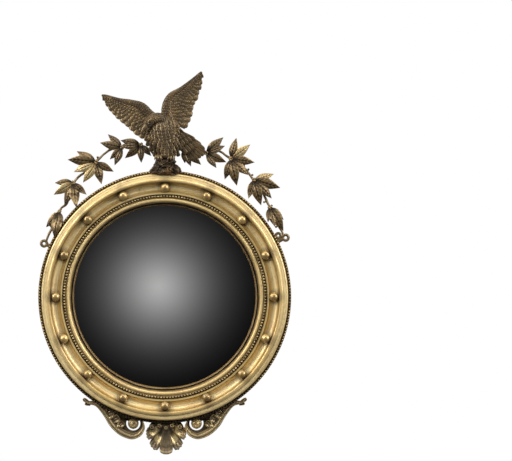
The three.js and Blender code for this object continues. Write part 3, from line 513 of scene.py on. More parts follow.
# ---- Sight ring and black slip --------------------------------------------------------
# A thinner turned ring holds the glass from the front. A narrow ring of black polished pear
# wood lies between it and the glass, with a thin gilt edge next to the glass.
SIGHT_R = 207.5
SIGHT_BACK = 14.3
SIGHT_LEDGE_R = 218.9
SIGHT_REED_R, SIGHT_REED_HALF = 214.4, 4.4
FIT = 0.3                         # gap between pieces that meet
sight_gilding = gilding(
    "sight_gilding", painted_highlights=[(214.0, 3.0, 0.5)], brown_and_shade=[(210.4, 1.8, 0.9), (218.2, 1.6, 0.7)],
    rubbed=[(SIGHT_REED_R, 1.4, 0.3)], grime_and_shade=[(219.0, 0.8, 0.8), (208.2, 2.2, 1.2), (226, 3.4, 0.8)])
sight_ring = turned("gilt_sight_ring", eased([
    (fillet_r - FIT, SIGHT_BACK), (fillet_r - FIT, BEAD_SEAT), (SIGHT_LEDGE_R, BEAD_SEAT),
    *arc(SIGHT_REED_R, BEAD_SEAT - 1.9, SIGHT_REED_HALF, 25, 168, 14),
    (208.9, 26.4), (SIGHT_R, 24.8), (SIGHT_R, SIGHT_BACK)], 0.3), sight_gilding)
seat(sight_ring, "frame", "gilt", "sight_ring")

GLASS_R = 214
GLASS_CURVE = 800
GLASS_THICK = 3.5
SLIP_FRONT = 20.5
SLIP_WIDTH = 4.5
GILT_EDGE = 1.1


def glass_rise(r):
    """Height of the curved glass above its edge, at a radius."""
    return math.sqrt(GLASS_CURVE ** 2 - r ** 2) - math.sqrt(GLASS_CURVE ** 2 - GLASS_R ** 2)


glass_edge = SIGHT_BACK - FIT - glass_rise(SIGHT_R)
slip_inner = SIGHT_R - SLIP_WIDTH
slip_edge = slip_inner + GILT_EDGE
slip_back = glass_edge + glass_rise(slip_inner) + FIT
black = Finish("ebonised_polish", Specular_IOR_Level=0.3)
worn_polish = black.noise(60, 5, 0.6)
browned = black.ramp(worn_polish, (0.45, 0.0), (0.75, 1.0))
black_polish = black.done(
    Base_Color=black.mix(browned, (0.006, 0.005, 0.004), (0.04, 0.025, 0.015)),
    Roughness=black.ramp(worn_polish, (0.3, 0.34), (0.7, 0.5)))
slip = turned("ebonised_slip_ring", eased([
    (slip_edge, slip_back), (SIGHT_R - FIT, slip_back), (SIGHT_R - FIT, SLIP_FRONT - 1.2),
    (slip_edge, SLIP_FRONT - 1.2)], 0.3), black_polish)
seat(slip, "frame", "ebonised_wood", "ebonised_slip")
# Painted shade darkens the gilt edge next to the glass.
slip_gilding = gilding("slip_edge_gilding", brown_and_shade=[(slip_inner, 3.0, 0.9)], grime_and_shade=[(slip_inner, 3.0, 0.55)])
gilt_edge = turned("gilt_slip_edge", eased([
    (slip_inner, slip_back), (slip_edge - 0.05, slip_back), (slip_edge - 0.05, SLIP_FRONT - 0.4),
    (slip_inner + 1.2, SLIP_FRONT), (slip_inner, SLIP_FRONT - 1.4)], 0.3), slip_gilding)
seat(gilt_edge, "frame", "gilt")

# ---- Convex looking glass -------------------------------------------------------------
# Blown plate, bent to a shallow dome and silvered behind. The old silvering has a bloom of fine
# dark spots near the edge.
GLASS_RINGS = 60
glass_front = [(GLASS_R * i / GLASS_RINGS, glass_edge + glass_rise(GLASS_R * i / GLASS_RINGS))
               for i in range(GLASS_RINGS + 1)]
glass_back = [(r, depth - GLASS_THICK) for r, depth in glass_front[::-4]]
silver = Finish("old_silvering", Metallic=1.0)
spots = silver.noise(330, 4, 0.6)
near_edge = silver.ramp(silver.radius() / GLASS_R, (0.86, 0.0), (0.955, 1.0))
foxing = silver.ramp(spots, (0.60, 0.0), (0.72, 1.0)) * near_edge
old_silvering = silver.done(
    Base_Color=silver.mix(foxing * 0.6, (0.86, 0.86, 0.855), (0.30, 0.27, 0.22)),
    Roughness=foxing * 0.3 + 0.012)
glass = turned("convex_looking_glass", [*glass_front, *glass_back], old_silvering, 192, sharp=60)
seat(glass, "frame", "silvered_glass", "convex_glass")

# ---- Bead rows ------------------------------------------------------------------------
# Two rows of carved beads, glued into quirks on either side of the mouldings. Dark painted
# shade fills the gaps, and the tops are rubbed bright.
BEAD_PITCH = 6.5
BEAD_BALL_R = 2.85
INNER_ROW_R = 222.6
BED_HALF, BED_TOP_HALF = 2.6, 2.2
BED_SEAT, BED_TOP = BEAD_SEAT + 0.2, BEAD_SEAT + 1.6


def ball_row(name, sides, rings):
    """A tree that sets balls of one size at even steps round a circle."""
    sizes = [("Count", "Int"), ("Row radius", "Float"), ("Ball radius", "Float"), ("Depth", "Float")]
    row = Recipe(name, sizes)
    circle = row.node("GeometryNodeMeshCircle", {},
                      {"Vertices": row.given["Count"], "Radius": row.given["Row radius"]})
    facing = (math.pi / 2, 0, 0)
    shift = row.node("ShaderNodeCombineXYZ", {}, {1: row.given["Depth"] * -1.0})
    places = row.moved(row.moved(circle, Rotation=facing), Translation=shift)
    ball = row.node("GeometryNodeMeshUVSphere", {},
                    {"Segments": sides, "Rings": rings, "Radius": row.given["Ball radius"]})
    row.ends_in(row.node("GeometryNodeInstanceOnPoints", {},
                         {"Points": places, "Instance": row.moved(ball, Rotation=facing)}))
    return row


def rubbed_and_shaded_beads():
    """Painted shade dark between the beads and darker still low on the outer row; gold only
    on the crests.
    """
    look = Finish("bead_bronzing", Specular_IOR_Level=0.4)
    # Painted shade: each bead is dark low down, between it and its neighbours.
    height = (look.axis("Y") * (-1 / MM) - (BACK + BEAD_SEAT)) / (2 * BEAD_R)
    patches = look.noise(55.0, 5.0, 0.6)
    # Painted shade: the outer row is darker towards the bottom of the ring.
    outer_row = look.ramp(look.radius() / 300, (0.8, 0.0), (0.85, 1.0))
    low = look.ramp(look.axis("Z") * -2.0, (0.36, 0.0), (0.50, 0.4)) * outer_row
    level = height + (patches - 0.5) * 0.45 - low
    tone = look.mix(look.ramp(level, (0.55, 0.0), (0.80, 1.0)), (0.035, 0.022, 0.011), (0.17, 0.11, 0.048))
    tone = look.mix(look.ramp(level, (0.88, 0.0), (1.08, 1.0)), tone, (0.66, 0.48, 0.22))
    return look.done(Base_Color=tone, Metallic=look.ramp(level, (0.6, 0.4), (0.95, 0.85)),
                     Roughness=look.ramp(level, (0.6, 0.65), (1.0, 0.36)))


bead_row = ball_row("bead_row", 10, 6)
bead_bronzing = rubbed_and_shaded_beads()
# The dark beds under the beads are painted shade in the gaps between them.
quirk = Finish("quirk_dirt", Metallic=0.2, Roughness=0.75)
quirk_dirt = quirk.done(Base_Color=quirk.mix(quirk.noise(80), (0.03, 0.018, 0.009), (0.08, 0.048, 0.022)))
for name, row_r in (("outer_beading", RIM_R - BEAD_R), ("inner_beading", INNER_ROW_R)):
    row = bead_row.make(f"{name}_beads", {
        "Count": int(2 * math.pi * row_r / BEAD_PITCH), "Row radius": row_r * MM,
        "Ball radius": BEAD_BALL_R * MM, "Depth": (BACK + BEAD_SEAT + FIT + BEAD_R) * MM,
        "Finish": bead_bronzing})
    seat(row, "frame", "gilt", name)
    bed = turned(f"{name}_bed", eased([
        (row_r - BED_HALF, BED_SEAT), (row_r - BED_TOP_HALF, BED_TOP),
        (row_r + BED_TOP_HALF, BED_TOP), (row_r + BED_HALF, BED_SEAT)], 0.2), quirk_dirt)
    seat(bed, "frame", "gilt")

# ---- Balls ----------------------------------------------------------------------------
# Sixteen turned and gilded balls, each pegged into the hollow, one exactly at the top. They
# were burnished. Some have tarnished, and painted shade darkens each one where it meets the hollow.
BALL_COUNT = 16
BURNISHED = (0.74, 0.52, 0.21)
ball_look = Finish("ball_gilding", Coat_Roughness=0.2)
# Painted shade: each ball is darker towards its back, where it meets the hollow.
ball_depth = (ball_look.axis("Y") * (-1 / MM) - (BACK + BALL_DEPTH)) / BALL_R
ball_patches = ball_look.noise(60.0, 5.0, 0.6)
ball_back_shade = ball_look.ramp(ball_depth * 0.5 + 0.5 + (ball_patches - 0.5) * 0.3, (0.42, 1.0), (0.62, 0.0))
ball_tone = ball_look.mix(ball_look.ramp(ball_patches, (0.45, 0.0), (0.7, 0.6)), BURNISHED, GOLD_BROWN)
tarnish = ball_look.ramp(ball_look.noise(9.0, 2.0, offset=(4, 4, 1)), (0.42, 0.0), (0.60, 0.75))
ball_tone = ball_look.mix(tarnish, ball_tone, (0.24, 0.155, 0.065))
ball_finish = ball_look.done(
    Base_Color=ball_look.mix(ball_back_shade * 0.9, ball_tone, GRIME_AND_SHADE), Metallic=0.7 - ball_back_shade * 0.3,
    Roughness=ball_look.ramp(ball_patches, (0.3, 0.30), (0.7, 0.42)) + ball_back_shade * 0.3,
    Coat_Weight=0.3 - ball_back_shade * 0.3)
balls = ball_row("ball_row", 40, 24).make("gilt_balls", {
    "Count": BALL_COUNT, "Row radius": BALL_RING_R * MM, "Ball radius": BALL_R * MM,
    "Depth": (BACK + BALL_DEPTH) * MM, "Finish": ball_finish})
seat(balls, "frame", "gilt", *(f"ball_{i + 1:02d}" for i in range(BALL_COUNT)))

# ---- Garland stems --------------------------------------------------------------------
# Iron wire bent by hand, built up with composition and bronzed. Each stem runs from behind
# the rock to a pierced eye at the side of the frame, with knots and cut twigs on the way.
STEM_R = 2.6
STEM_DEPTH = 14
TWIG = ((0, 2.4), (4.5, 1.9), (7.0, 2.6), (8.6, 1.2))   # reach along a cut twig, and its radius
EYE_WIRE, EYE_FLAT = 3.2, 3.0                           # half width and half thickness
EYE_RIM = 3.25                                          # from an eye's outside to its wire's middle
TENON_R = 276.5                                         # where an eye's tenon ends in the frame


def spline(stations, count):
    """Even steps along a smooth curve through the stations; every column is carried along."""
    at = np.array(stations, float)
    ends = np.vstack([2 * at[0] - at[1], at, 2 * at[-1] - at[-2]])
    t = np.linspace(0, 1, 16, endpoint=False)[:, None]
    pieces = [0.5 * (2 * b + (c - a) * t + (2 * a - 5 * b + 4 * c - d) * t ** 2
                     + (3 * b - a - 3 * c + d) * t ** 3)
              for a, b, c, d in zip(ends, ends[1:], ends[2:], ends[3:])]
    dense = np.vstack([*pieces, at[-1:]])
    gone = np.r_[0, np.cumsum(np.linalg.norm(np.diff(dense[:, :2], axis=0), axis=1))]
    wanted = np.linspace(0, gone[-1], count)
    return np.column_stack([np.interp(wanted, gone, column) for column in dense.T])


def skin(rings, shade=None, loop=False):
    """Rings of [x, depth, z] points skinned into one closed shell, with a shade for each ring
    or for each point."""
    rings = np.asarray(rings, float)
    count, sides = rings.shape[:2]
    points = rings.reshape(-1, 3).copy()
    points[:, 1] = -BACK - points[:, 1]
    k, i = np.meshgrid(np.arange(sides), np.arange(count if loop else count - 1))
    n, m = (k + 1) % sides, (i + 1) % count
    faces = np.stack([i * sides + k, i * sides + n, m * sides + n, m * sides + k], -1).reshape(-1, 4).tolist()
    if not loop:
        faces += [list(range(sides))[::-1], list(range((count - 1) * sides, count * sides))]
    shade = np.ones(count) if shade is None else np.asarray(shade, float)
    return points, faces, np.repeat(shade, sides) if shade.ndim == 1 else shade.ravel()


def limb(stations, steps=24, sides=18, loop=False, ripple=None):
    """A rounded shell along stations of x, z, depth, half width and half thickness."""
    path = spline(stations, steps)
    if loop:
        path = path[:-1]
    along = np.gradient(path[:, :2], axis=0)
    if loop:
        along = np.roll(path[:, :2], -1, axis=0) - np.roll(path[:, :2], 1, axis=0)
    along /= np.linalg.norm(along, axis=1)[:, None] + 1e-9
    turn = np.arange(sides) * 2 * math.pi / sides
    swell = 1 if ripple is None else 1 + ripple(np.linspace(0, 1, len(path))[:, None], turn[None, :])
    across = path[:, 3:4] * np.cos(turn) * swell
    forward = path[:, 2:3] + path[:, 4:5] * np.sin(turn) * swell
    x = path[:, 0:1] - along[:, 1:2] * across
    z = path[:, 1:2] + along[:, 0:1] * across
    return skin(np.stack([x, forward, z], -1), loop=loop)


def knob(x, z, depth, size, squash=1.0):
    """A rounded lump: a short limb that closes at both ends."""
    heights = np.array([-1, -0.92, -0.7, -0.35, 0, 0.35, 0.7, 0.92, 1.0])
    width = np.sqrt(np.maximum(1 - heights ** 2, 0.02))
    stations = [(x, z + h * size, depth, w * size, w * size * squash) for h, w in zip(heights, width)]
    return limb(stations, 12, 14)


def merged(shells):
    """Several shells as one list of points, faces and shades."""
    start = np.cumsum([0] + [len(points) for points, _, _ in shells])
    faces = [[n + first for n in face] for (_, part, _), first in zip(shells, start) for face in part]
    return np.vstack([s[0] for s in shells]), faces, np.concatenate([s[2] for s in shells])


def neighbours_mean(values, edges, count):
    """The mean of each point's neighbours, for three columns at a time."""
    a, b = edges.T
    both, other = np.r_[a, b], np.r_[b, a]
    size = np.maximum(np.bincount(both, minlength=count), 1)
    return np.column_stack([np.bincount(both, column[other], minlength=count) / size for column in values.T])


def worn_and_shaded(made, shade, reach, depth_mm):
    """Keeps for each point how far it stands out of its surroundings, times its shade, for the
    bronzing: gold on what stands out, dirt and painted shade in the hollows.
    """
    mesh = made.data
    count = len(mesh.vertices)
    points, normals = np.empty(count * 3), np.empty(count * 3)
    edges = np.empty(len(mesh.edges) * 2, int)
    mesh.vertices.foreach_get("co", points)
    mesh.vertices.foreach_get("normal", normals)
    mesh.edges.foreach_get("vertices", edges)
    points, normals, edges = points.reshape(-1, 3) / MM, normals.reshape(-1, 3), edges.reshape(-1, 2)
    smooth = points
    for _ in range(reach):
        smooth = neighbours_mean(smooth, edges, count)
    proud = np.einsum("ij,ij->i", points - smooth, normals)
    raised = np.clip(0.5 + proud / depth_mm / 2, 0, 1) * shade
    mesh.attributes.new("raised", "FLOAT", "POINT").data.foreach_set("value", raised.astype(np.float32))


def carving(name, shells, finish, slot, nodes=(), reach=3, depth_mm=0.5, sharp=38, body="frame"):
    """Shells made into one piece, with its raised parts marked, and seated on its body."""
    points, faces, shade = merged(shells)
    mesh = bpy.data.meshes.new(name)
    mesh.from_pydata((points * MM).tolist(), [], faces)
    shape = bmesh.new()
    shape.from_mesh(mesh)
    bmesh.ops.recalc_face_normals(shape, faces=shape.faces)
    shape.to_mesh(mesh)
    shape.free()
    made = bpy.data.objects.new(name, mesh)
    bpy.context.scene.collection.objects.link(made)
    mesh.polygons.foreach_set("use_smooth", [True] * len(mesh.polygons))
    mesh.set_sharp_from_angle(angle=math.radians(sharp))
    worn_and_shaded(made, shade, reach, depth_mm)
    mesh.materials.append(finish)
    seat(made, body, slot, *nodes)


def bronzing(name, deep, middle, high, patch=(0.66, 0.49, 0.25), patchiness=0.5, gilt_hollows=False):
    """Darkened gilding: dirt and painted shade in the hollows, brown between, gold left on what
    stands out. Gilt hollows are those whose shade was set well above 1."""
    look = Finish(name, Metallic=0.6, Specular_IOR_Level=0.3)
    raised = look.node("ShaderNodeAttribute", {"attribute_name": "raised"}, out="Fac")
    patches = look.noise(36.0, 5.0, 0.6, offset=(1, 5, 2))
    specks = look.noise(300.0, 4.0, 0.7)
    level = raised + (patches - 0.5) * 0.5 + (specks - 0.5) * 0.3
    # Dirt and painted shade: the tone darkens where the raised mark is low, in the hollows.
    tone = look.mix(look.ramp(level, (0.12, 0.0), (0.5, 1.0)), deep, middle)
    tone = look.mix(look.ramp(level, (0.5, 0.0), (0.86, 1.0)), tone, high)
    bright = look.ramp(patches, (0.54, 0.0), (0.66, patchiness)) * look.ramp(raised, (0.3, 0.0), (0.6, 1.0))
    tone = look.mix(bright, tone, patch)
    if gilt_hollows:
        tone = look.mix(look.ramp(level * 0.5, (0.40, 0.0), (0.56, 0.9)), tone, GOLD_PALE)
    rough = look.ramp(level, (0.1, 0.72), (0.8, 0.34))
    return look.done(Base_Color=tone, Roughness=rough, Normal=look.bump(specks + patches, 0.0005, 0.5))


dark_bronzing = bronzing("dark_bronzing", (0.008, 0.006, 0.004), (0.052, 0.035, 0.020), (0.23, 0.165, 0.088),
                         patch=(0.22, 0.135, 0.055), patchiness=0.4)
leaf_bronzing = bronzing("leaf_bronzing", (0.008, 0.006, 0.004), (0.064, 0.042, 0.021), (0.30, 0.21, 0.105),
                         patch=(0.34, 0.235, 0.105), patchiness=0.4)
bright_leaf = bronzing("leaf_gilding", (0.05, 0.032, 0.014), (0.30, 0.21, 0.09), (0.66, 0.51, 0.27),
                       patchiness=0.3)

# A twig is x, z and the way it points. A spray is its place along the rim from the top, how
# far out its knot lies, and each leaf's bearing and length.
GARLANDS = {
    "left": {
        "side": -1, "eyes": [(-267.5, 118, 9.5)],
        "stem": [(-14, 300), (-30, 322), (-50, 334), (-91, 334), (-124, 324), (-152, 300), (-176, 277),
                 (-195, 262), (-206, 241), (-217, 208), (-233, 192), (-246, 160), (-258, 136),
                 (-262, 124)],
        "twigs": [(-128, 322, 40), (-160, 293, 215), (-148, 303, 100), (-212, 222, 150),
                  (-238, 182, 160), (-230, 195, 250), (-250, 152, 120)],
        "sprays": [(44, 61, [(24, 46), (3, 47), (-34, 46), (-80, 40), (-122, 34)]),
                   (78, 64, [(56, 43), (26, 50), (-25, 38), (-50, 43)]),
                   (132, 55, [(55, 49), (35, 63), (3, 54), (-34, 54), (-76, 51), (-121, 44)]),
                   (189, 44, [(41, 41), (6, 51), (-33, 54), (-57, 56), (-96, 40)]),
                   (250, 20, [(6, 37), (-1, 45), (-26, 58), (-54, 28)])]},
    "right": {
        "side": 1, "eyes": [(268, 131, 9.5), (251.5, 135.5, 8.5)],
        "stem": [(14, 300), (24, 322), (44, 328), (89, 319), (117, 324), (143, 308), (172, 290),
                 (196, 260), (215, 234), (228, 208), (236, 190), (247, 166), (258, 148), (263, 137)],
        "twigs": [(102, 322, 75), (109, 323, 40), (182, 277, 60), (188, 268, 20), (176, 286, 95),
                  (232, 198, 40), (226, 212, 200), (252, 158, 210)],
        "sprays": [(35, 50, [(-80, 32), (-58, 42), (-32, 52)]),
                   (78, 51, [(61, 52), (39, 45), (-11, 49), (-40, 40)]),
                   (125, 59, [(102, 48), (59, 53), (17, 53), (-78, 48), (-53, 61), (-21, 52)]),
                   (182, 46, [(50, 46), (21, 61), (-6, 57), (-71, 44), (-40, 59)]),
                   (242, 26, [(9, 41), (-8, 60), (-29, 45), (-51, 34)])]},
}


def uneven_coat(t, turn):
    """Composition laid on the wire by hand, never quite round."""
    return 0.10 * np.sin(61 * t + 2 * turn) + 0.06 * np.sin(143 * t - turn)


for hand, garland in GARLANDS.items():
    stem = garland["stem"]
    swell = [1 + 0.16 * math.sin(2.9 * i) for i in range(len(stem))]
    shells = [limb([[x, z, STEM_DEPTH, STEM_R * s, STEM_R * s] for (x, z), s in zip(stem, swell)], 150, 12,
                   ripple=uneven_coat)]
    for x, z, heading in garland["twigs"]:
        turn = math.radians(heading)
        twig = [(x + math.cos(turn) * reach, z + math.sin(turn) * reach, STEM_DEPTH + i, r, r)
                for i, (reach, r) in enumerate(TWIG)]
        shells.append(limb(twig, 10, 10))
    for x, z, reach in garland["eyes"]:
        middle = reach - EYE_RIM
        eye = [(x + middle * math.cos(t), z + middle * math.sin(t), STEM_DEPTH, EYE_WIRE, EYE_FLAT)
               for t in np.linspace(0, 2 * math.pi, 17)]
        shells.append(limb(eye, 33, 14, loop=True))
    x, z, _ = garland["eyes"][0]
    inward = -np.array([x, z]) / math.hypot(x, z)
    start, end = np.array([x, z]) + inward * 6, inward * -TENON_R
    shells.append(limb([(*start, STEM_DEPTH, 4.0, 2.8), (*((start + end) / 2), STEM_DEPTH, 4.4, 2.8),
                        (*end, STEM_DEPTH, 5.2, 2.8)], 8, 12))
    carving(f"{hand}_garland_stem", shells, dark_bronzing, "gilded_iron", [f"garland_stem_{hand}"], 2, 0.4)

# ---- Laurel sprays --------------------------------------------------------------------
# Carved limewood leaves in sprays of three to six, each spray glued and wired to the stem by
# its knot. A few leaves were gilded again and are brighter than the rest.
LEAF_THICK = 2.1
LEAF_FLOOR = STEM_DEPTH + STEM_R + FIT + LEAF_THICK
RIM_FRONT = BEAD_SEAT + 2 * BEAD_R + 3
RIM_CLIMB = 24                    # how far outside the rim a leaf starts to climb over it
LEAF_OUTLINE = [(0.0, 0.045), (0.08, 0.06), (0.22, 0.145), (0.38, 0.198), (0.55, 0.187), (0.72, 0.135),
                (0.87, 0.066), (0.96, 0.022), (1.0, 0.006)]
REGILDED = {("left", 3, 2), ("left", 3, 3), ("left", 4, 1), ("right", 3, 1), ("right", 4, 0), ("left", 5, 0)}
DARK_SPRAYS = 2                   # on each side, the nearest to the eagle
KNOT_BERRIES, KNOT_R = 4, 2.6


def smoothstep(value, low, high):
    t = np.clip((value - low) / (high - low), 0, 1)
    return t * t * (3 - 2 * t)


def leaf(foot, heading, length, tilt, curl, lift=0.0):
    """One leaf: arched along its length, with a sunk midrib, ribs to its edge and a sharp tip."""
    share = np.linspace(0.02, 1, 30)
    width = np.interp(share, *zip(*LEAF_OUTLINE)) * length
    along, side = np.array(heading), np.array([-heading[1], heading[0]])
    u = np.linspace(-1, 1, 15)
    sway = curl * 0.06 * length * share ** 2
    spine = np.array(foot) + np.outer(share * length, along) + np.outer(sway, side)
    near = smoothstep(RIM_R + RIM_CLIMB - np.hypot(spine[:, 0], spine[:, 1]), 0, RIM_CLIMB - 2)
    arch = 0.085 * length * np.sin(math.pi * share ** 0.9)
    base = LEAF_FLOOR + near * (RIM_FRONT - LEAF_FLOOR) + arch + lift
    s, uu = share[:, None], u[None, :]
    ribs = np.cos(2 * math.pi * (s * 7.5 - np.abs(uu) * 1.1))
    midrib = 0.95 * np.exp(-(uu / 0.13) ** 2) * np.sin(math.pi * s) ** 0.5
    slope = tilt * uu * width[:, None] * 0.42
    front = 0.36 * width[:, None] * (1 - uu ** 2) - midrib + 0.16 * ribs * (1 - uu ** 2) + slope
    lip = 0.5 + 0.5 * np.sin(math.pi * share)
    back_side = 0.28 * width[:, None] * (1 - uu ** 2) + slope
    rings = []
    for i in range(len(share)):
        across = spine[i][:, None] + side[:, None] * (u * width[i])[None, :]
        top = np.stack([across[0], base[i] + front[i], across[1]], -1)
        under = np.stack([across[0], base[i] + back_side[i] - LEAF_THICK * lip[i], across[1]], -1)[::-1]
        rings.append(np.vstack([top, under]))
    # Painted shade: each leaf is darker towards its foot, where the leaves crowd at the knot.
    shade = 0.35 + 0.65 * smoothstep(share, 0.02, 0.42)
    return skin(rings, shade)


for hand, garland in GARLANDS.items():
    side = garland["side"]
    for number, (along, out, leaves) in enumerate(garland["sprays"], 1):
        angle = along / RIM_R
        foot = (side * math.sin(angle) * (RIM_R + out), math.cos(angle) * (RIM_R + out))
        plain, bright = [], []
        for place, (bearing, length) in enumerate(leaves):
            turn = math.radians(bearing)
            heading = (side * (math.cos(angle) * math.cos(turn) + math.sin(angle) * math.sin(turn)),
                       -math.sin(angle) * math.cos(turn) + math.cos(angle) * math.sin(turn))
            tilt = 0.9 * math.sin(2.4 * place + number + side)
            shape = leaf(foot, heading, length, tilt, math.sin(1.7 * place + 2 * number), 0.9 * (place % 2))
            (bright if (hand, number, place) in REGILDED else plain).append(shape)
        for k in range(KNOT_BERRIES):
            turn = 1.6 * k + number
            x, z = foot[0] + KNOT_R * math.cos(turn), foot[1] + KNOT_R * math.sin(turn)
            plain.append(knob(x, z, LEAF_FLOOR + 1.2 + k % 2, 3.1 - 0.3 * (k % 3), 0.8))
        spray_finish = leaf_bronzing if number > DARK_SPRAYS else dark_bronzing
        carving(f"{hand}_spray_{number}", plain, spray_finish, "bronzed_gilt",
                [f"garland_{hand}_leaves_{number}"], 2, 0.34)
        if bright:
            carving(f"{hand}_spray_{number}_regilded", bright, bright_leaf, "gilt", (), 2, 0.34)

# ---- Rock -----------------------------------------------------------------------------
# The eagle's perch: a block of limewood cut to look like a crag, fixed to the iron strap
# behind it and standing over the bead row. It is bronzed darker than the rest.
ROCK_LEVELS = [(1.5, 268.5, 29.5, 30, 21), (1.5, 272, 30, 34, 24.5), (1.2, 279, 30, 33, 25),
               (0.8, 286, 29, 29.5, 24), (0.5, 293, 28, 25, 22.5), (0.8, 300, 26, 22.5, 20.5),
               (1.5, 305, 25, 21.5, 18), (2, 307.4, 24.5, 19.5, 15.5), (2, 308.6, 24.5, 8, 6)]
ROCK_SEED = 12
CRAG_CELLS = (11, 25)
crags = np.random.default_rng(ROCK_SEED).uniform(-1, 1, CRAG_CELLS)


def crag(t, turn):
    """Broken planes: heights drawn for a net of corners, straight between them, with clefts."""
    up = t * (CRAG_CELLS[0] - 1.001)
    round_place = turn / math.tau * CRAG_CELLS[1] + 1.3 * t
    i, k = np.floor(up).astype(int), np.floor(round_place).astype(int)
    u, v = up - i, round_place - k
    k, after = k % CRAG_CELLS[1], (k + 1) % CRAG_CELLS[1]
    below = (1 - v) * crags[i, k] + v * crags[i, after]
    above = (1 - v) * crags[i + 1, k] + v * crags[i + 1, after]
    height = (1 - u) * below + u * above
    cleft = np.exp(-((np.sin(3.5 * turn + 2.2 * np.sin(5 * t) + 0.8)) / 0.16) ** 2)
    chisel = 0.012 * np.sin(29 * turn + 37 * t) + 0.010 * np.sin(47 * turn - 53 * t)
    return (0.15 * height - 0.13 * cleft + chisel) * np.minimum(1, 8 * (1 - t))


rock_finish = bronzing("rock_bronzing", (0.004, 0.003, 0.002), (0.030, 0.019, 0.011), (0.13, 0.088, 0.045),
                       patch=(0.18, 0.09, 0.028), patchiness=0.6)
carving("crag_perch", [limb(ROCK_LEVELS, 90, 150, ripple=crag)], rock_finish, "bronzed_gilt",
        ["rock_plinth"], 8, 1.2, 28)

# ---- Eagle ----------------------------------------------------------------------------
# Limewood, carved in the round from the front: body, head, claws and tail in one block, laid
# all over with rows of small feathers, then bronzed with gold left on the feather tips.
ROCK_TOP = 308
FEATHER_SEED = 7
uneven = np.random.default_rng(FEATHER_SEED)


def scales(rows, columns, height):
    """Rows of overlapping feathers round a limb, tips towards its far end."""
    def ripple(t, turn):
        row = t * rows
        across = turn * columns / (2 * math.pi) + 0.22 * np.sin(5 * row + 2 * turn)

        def arch(k):
            return 2 * ((across + 0.5 * (k % 2)) % 1) - 1

        first = np.floor(row)
        middle = arch(first)
        covered = row - first < 1 - 0.55 * middle ** 2
        k = np.where(covered, first, first + 1)
        middle = np.where(covered, middle, arch(first + 1))
        rise = 1 - (k + 1 - 0.55 * middle ** 2 - row)
        tip = smoothstep(rise, 0.82, 1.0)
        barbs = 0.10 * np.cos(2 * math.pi * (rise * 2.6 + np.abs(middle) * 1.4))
        return height * (rise - 0.45 * tip + 0.25 * np.exp(-(middle / 0.16) ** 2) + barbs)
    return ripple


def plume(root, tip, half, depth, rise, lean=0.0, barb=2.4):
    """One long feather: blunt round tip, raised shaft and slanting barbs. Points are x, z."""
    root, tip = np.array(root, float), np.array(tip, float)
    length = np.linalg.norm(tip - root)
    along = (tip - root) / length
    side = np.array([-along[1], along[0]])
    share = np.r_[np.linspace(0, 0.8, 13), 0.8 + 0.2 * np.sin(np.linspace(0.25, math.pi / 2, 6))]
    width = np.where(share < 0.8, 0.62 + 0.38 * np.sin(np.minimum(share, 0.8) / 0.8 * math.pi / 2),
                     np.sqrt(np.maximum(1 - ((share - 0.8) / 0.205) ** 2, 0))) * half
    u = np.linspace(-1, 1, 11)
    s, uu = share[:, None], u[None, :]
    shaft = 0.55 * np.exp(-(uu / 0.15) ** 2) * (1 - 0.6 * s)
    slant = s * length / barb - np.abs(uu) * half / barb * 0.8
    barbs = 0.22 * np.cos(2 * math.pi * slant) * (np.abs(uu) > 0.15)
    front = 0.26 * width[:, None] * (1 - uu ** 2) + shaft + barbs + lean * uu * half * 0.4
    under = 0.18 * width[:, None] * (1 - uu ** 2) + lean * uu * half * 0.4 - 1.5
    base = depth + rise * share
    rings = []
    for i, w in enumerate(width):
        line = root[:, None] + along[:, None] * share[i] * length + side[:, None] * (u * w)[None, :]
        top = np.stack([line[0], base[i] + front[i], line[1]], -1)
        low = np.stack([line[0], base[i] + under[i], line[1]], -1)[::-1]
        rings.append(np.vstack([top, low]))
    # Painted shade: each feather is darker at its root, under the feather laid over it.
    return skin(rings, 0.55 + 0.45 * smoothstep(share, 0.05, 0.6))


TRUNK = [(-14, 401, 34, 5, 6), (-11, 396, 34, 14, 11.5), (-7, 387, 33, 23, 17), (-4, 373, 33, 31, 20.5),
         (-3, 357, 33, 36.5, 20.5), (-2, 343, 33, 35, 19.5), (1, 331, 34, 30, 17.5), (3, 320, 34, 24.5, 15.5),
         (4, 308, 35, 20, 13)]


def trunk_at(z):
    """Middle, depth, half width and half thickness of the trunk at a height."""
    heights, *columns = (np.array(TRUNK)[::-1, i] for i in (1, 0, 2, 3, 4))
    return [float(np.interp(z, heights, column)) for column in columns]


def breast(x, z):
    """Depth of the trunk's front at a point."""
    middle, depth, width, thick = trunk_at(z)
    return depth + thick * math.sqrt(max(0.0, 1 - ((x - middle) / (width * 1.02)) ** 2))


FEATHERED = (316, 394)            # heights between which the trunk is feathered
FEATHER_ROW = 6.6
FEATHER_GAP = 7.6
feathers = []
for row, z in enumerate(np.arange(*FEATHERED, FEATHER_ROW)):
    middle, _, width, _ = trunk_at(z)
    count = max(2, round(2 * width / FEATHER_GAP))
    for i in range(count + 1):
        across = 2 * (i + 0.5 * (row % 2)) / count - 1
        if across > 1.02:
            continue
        root = (middle + across * width * 0.95, z + 7)
        lean = 0.10 + 0.42 * across + 0.25 * smoothstep(z, 350, 390) + uneven.uniform(-0.1, 0.1)
        length = uneven.uniform(17, 21) * (0.72 + 0.28 * smoothstep(z, 318, 350))
        tip = (root[0] + length * math.sin(lean), root[1] - length * math.cos(lean))
        depth = breast(*root) - 1.6
        rise = breast(*tip) + 1.2 - depth
        half, twist = uneven.uniform(4.3, 5.4), uneven.uniform(-0.3, 0.3)
        feathers.append(plume(root, tip, half, depth, rise, twist, 1.7))

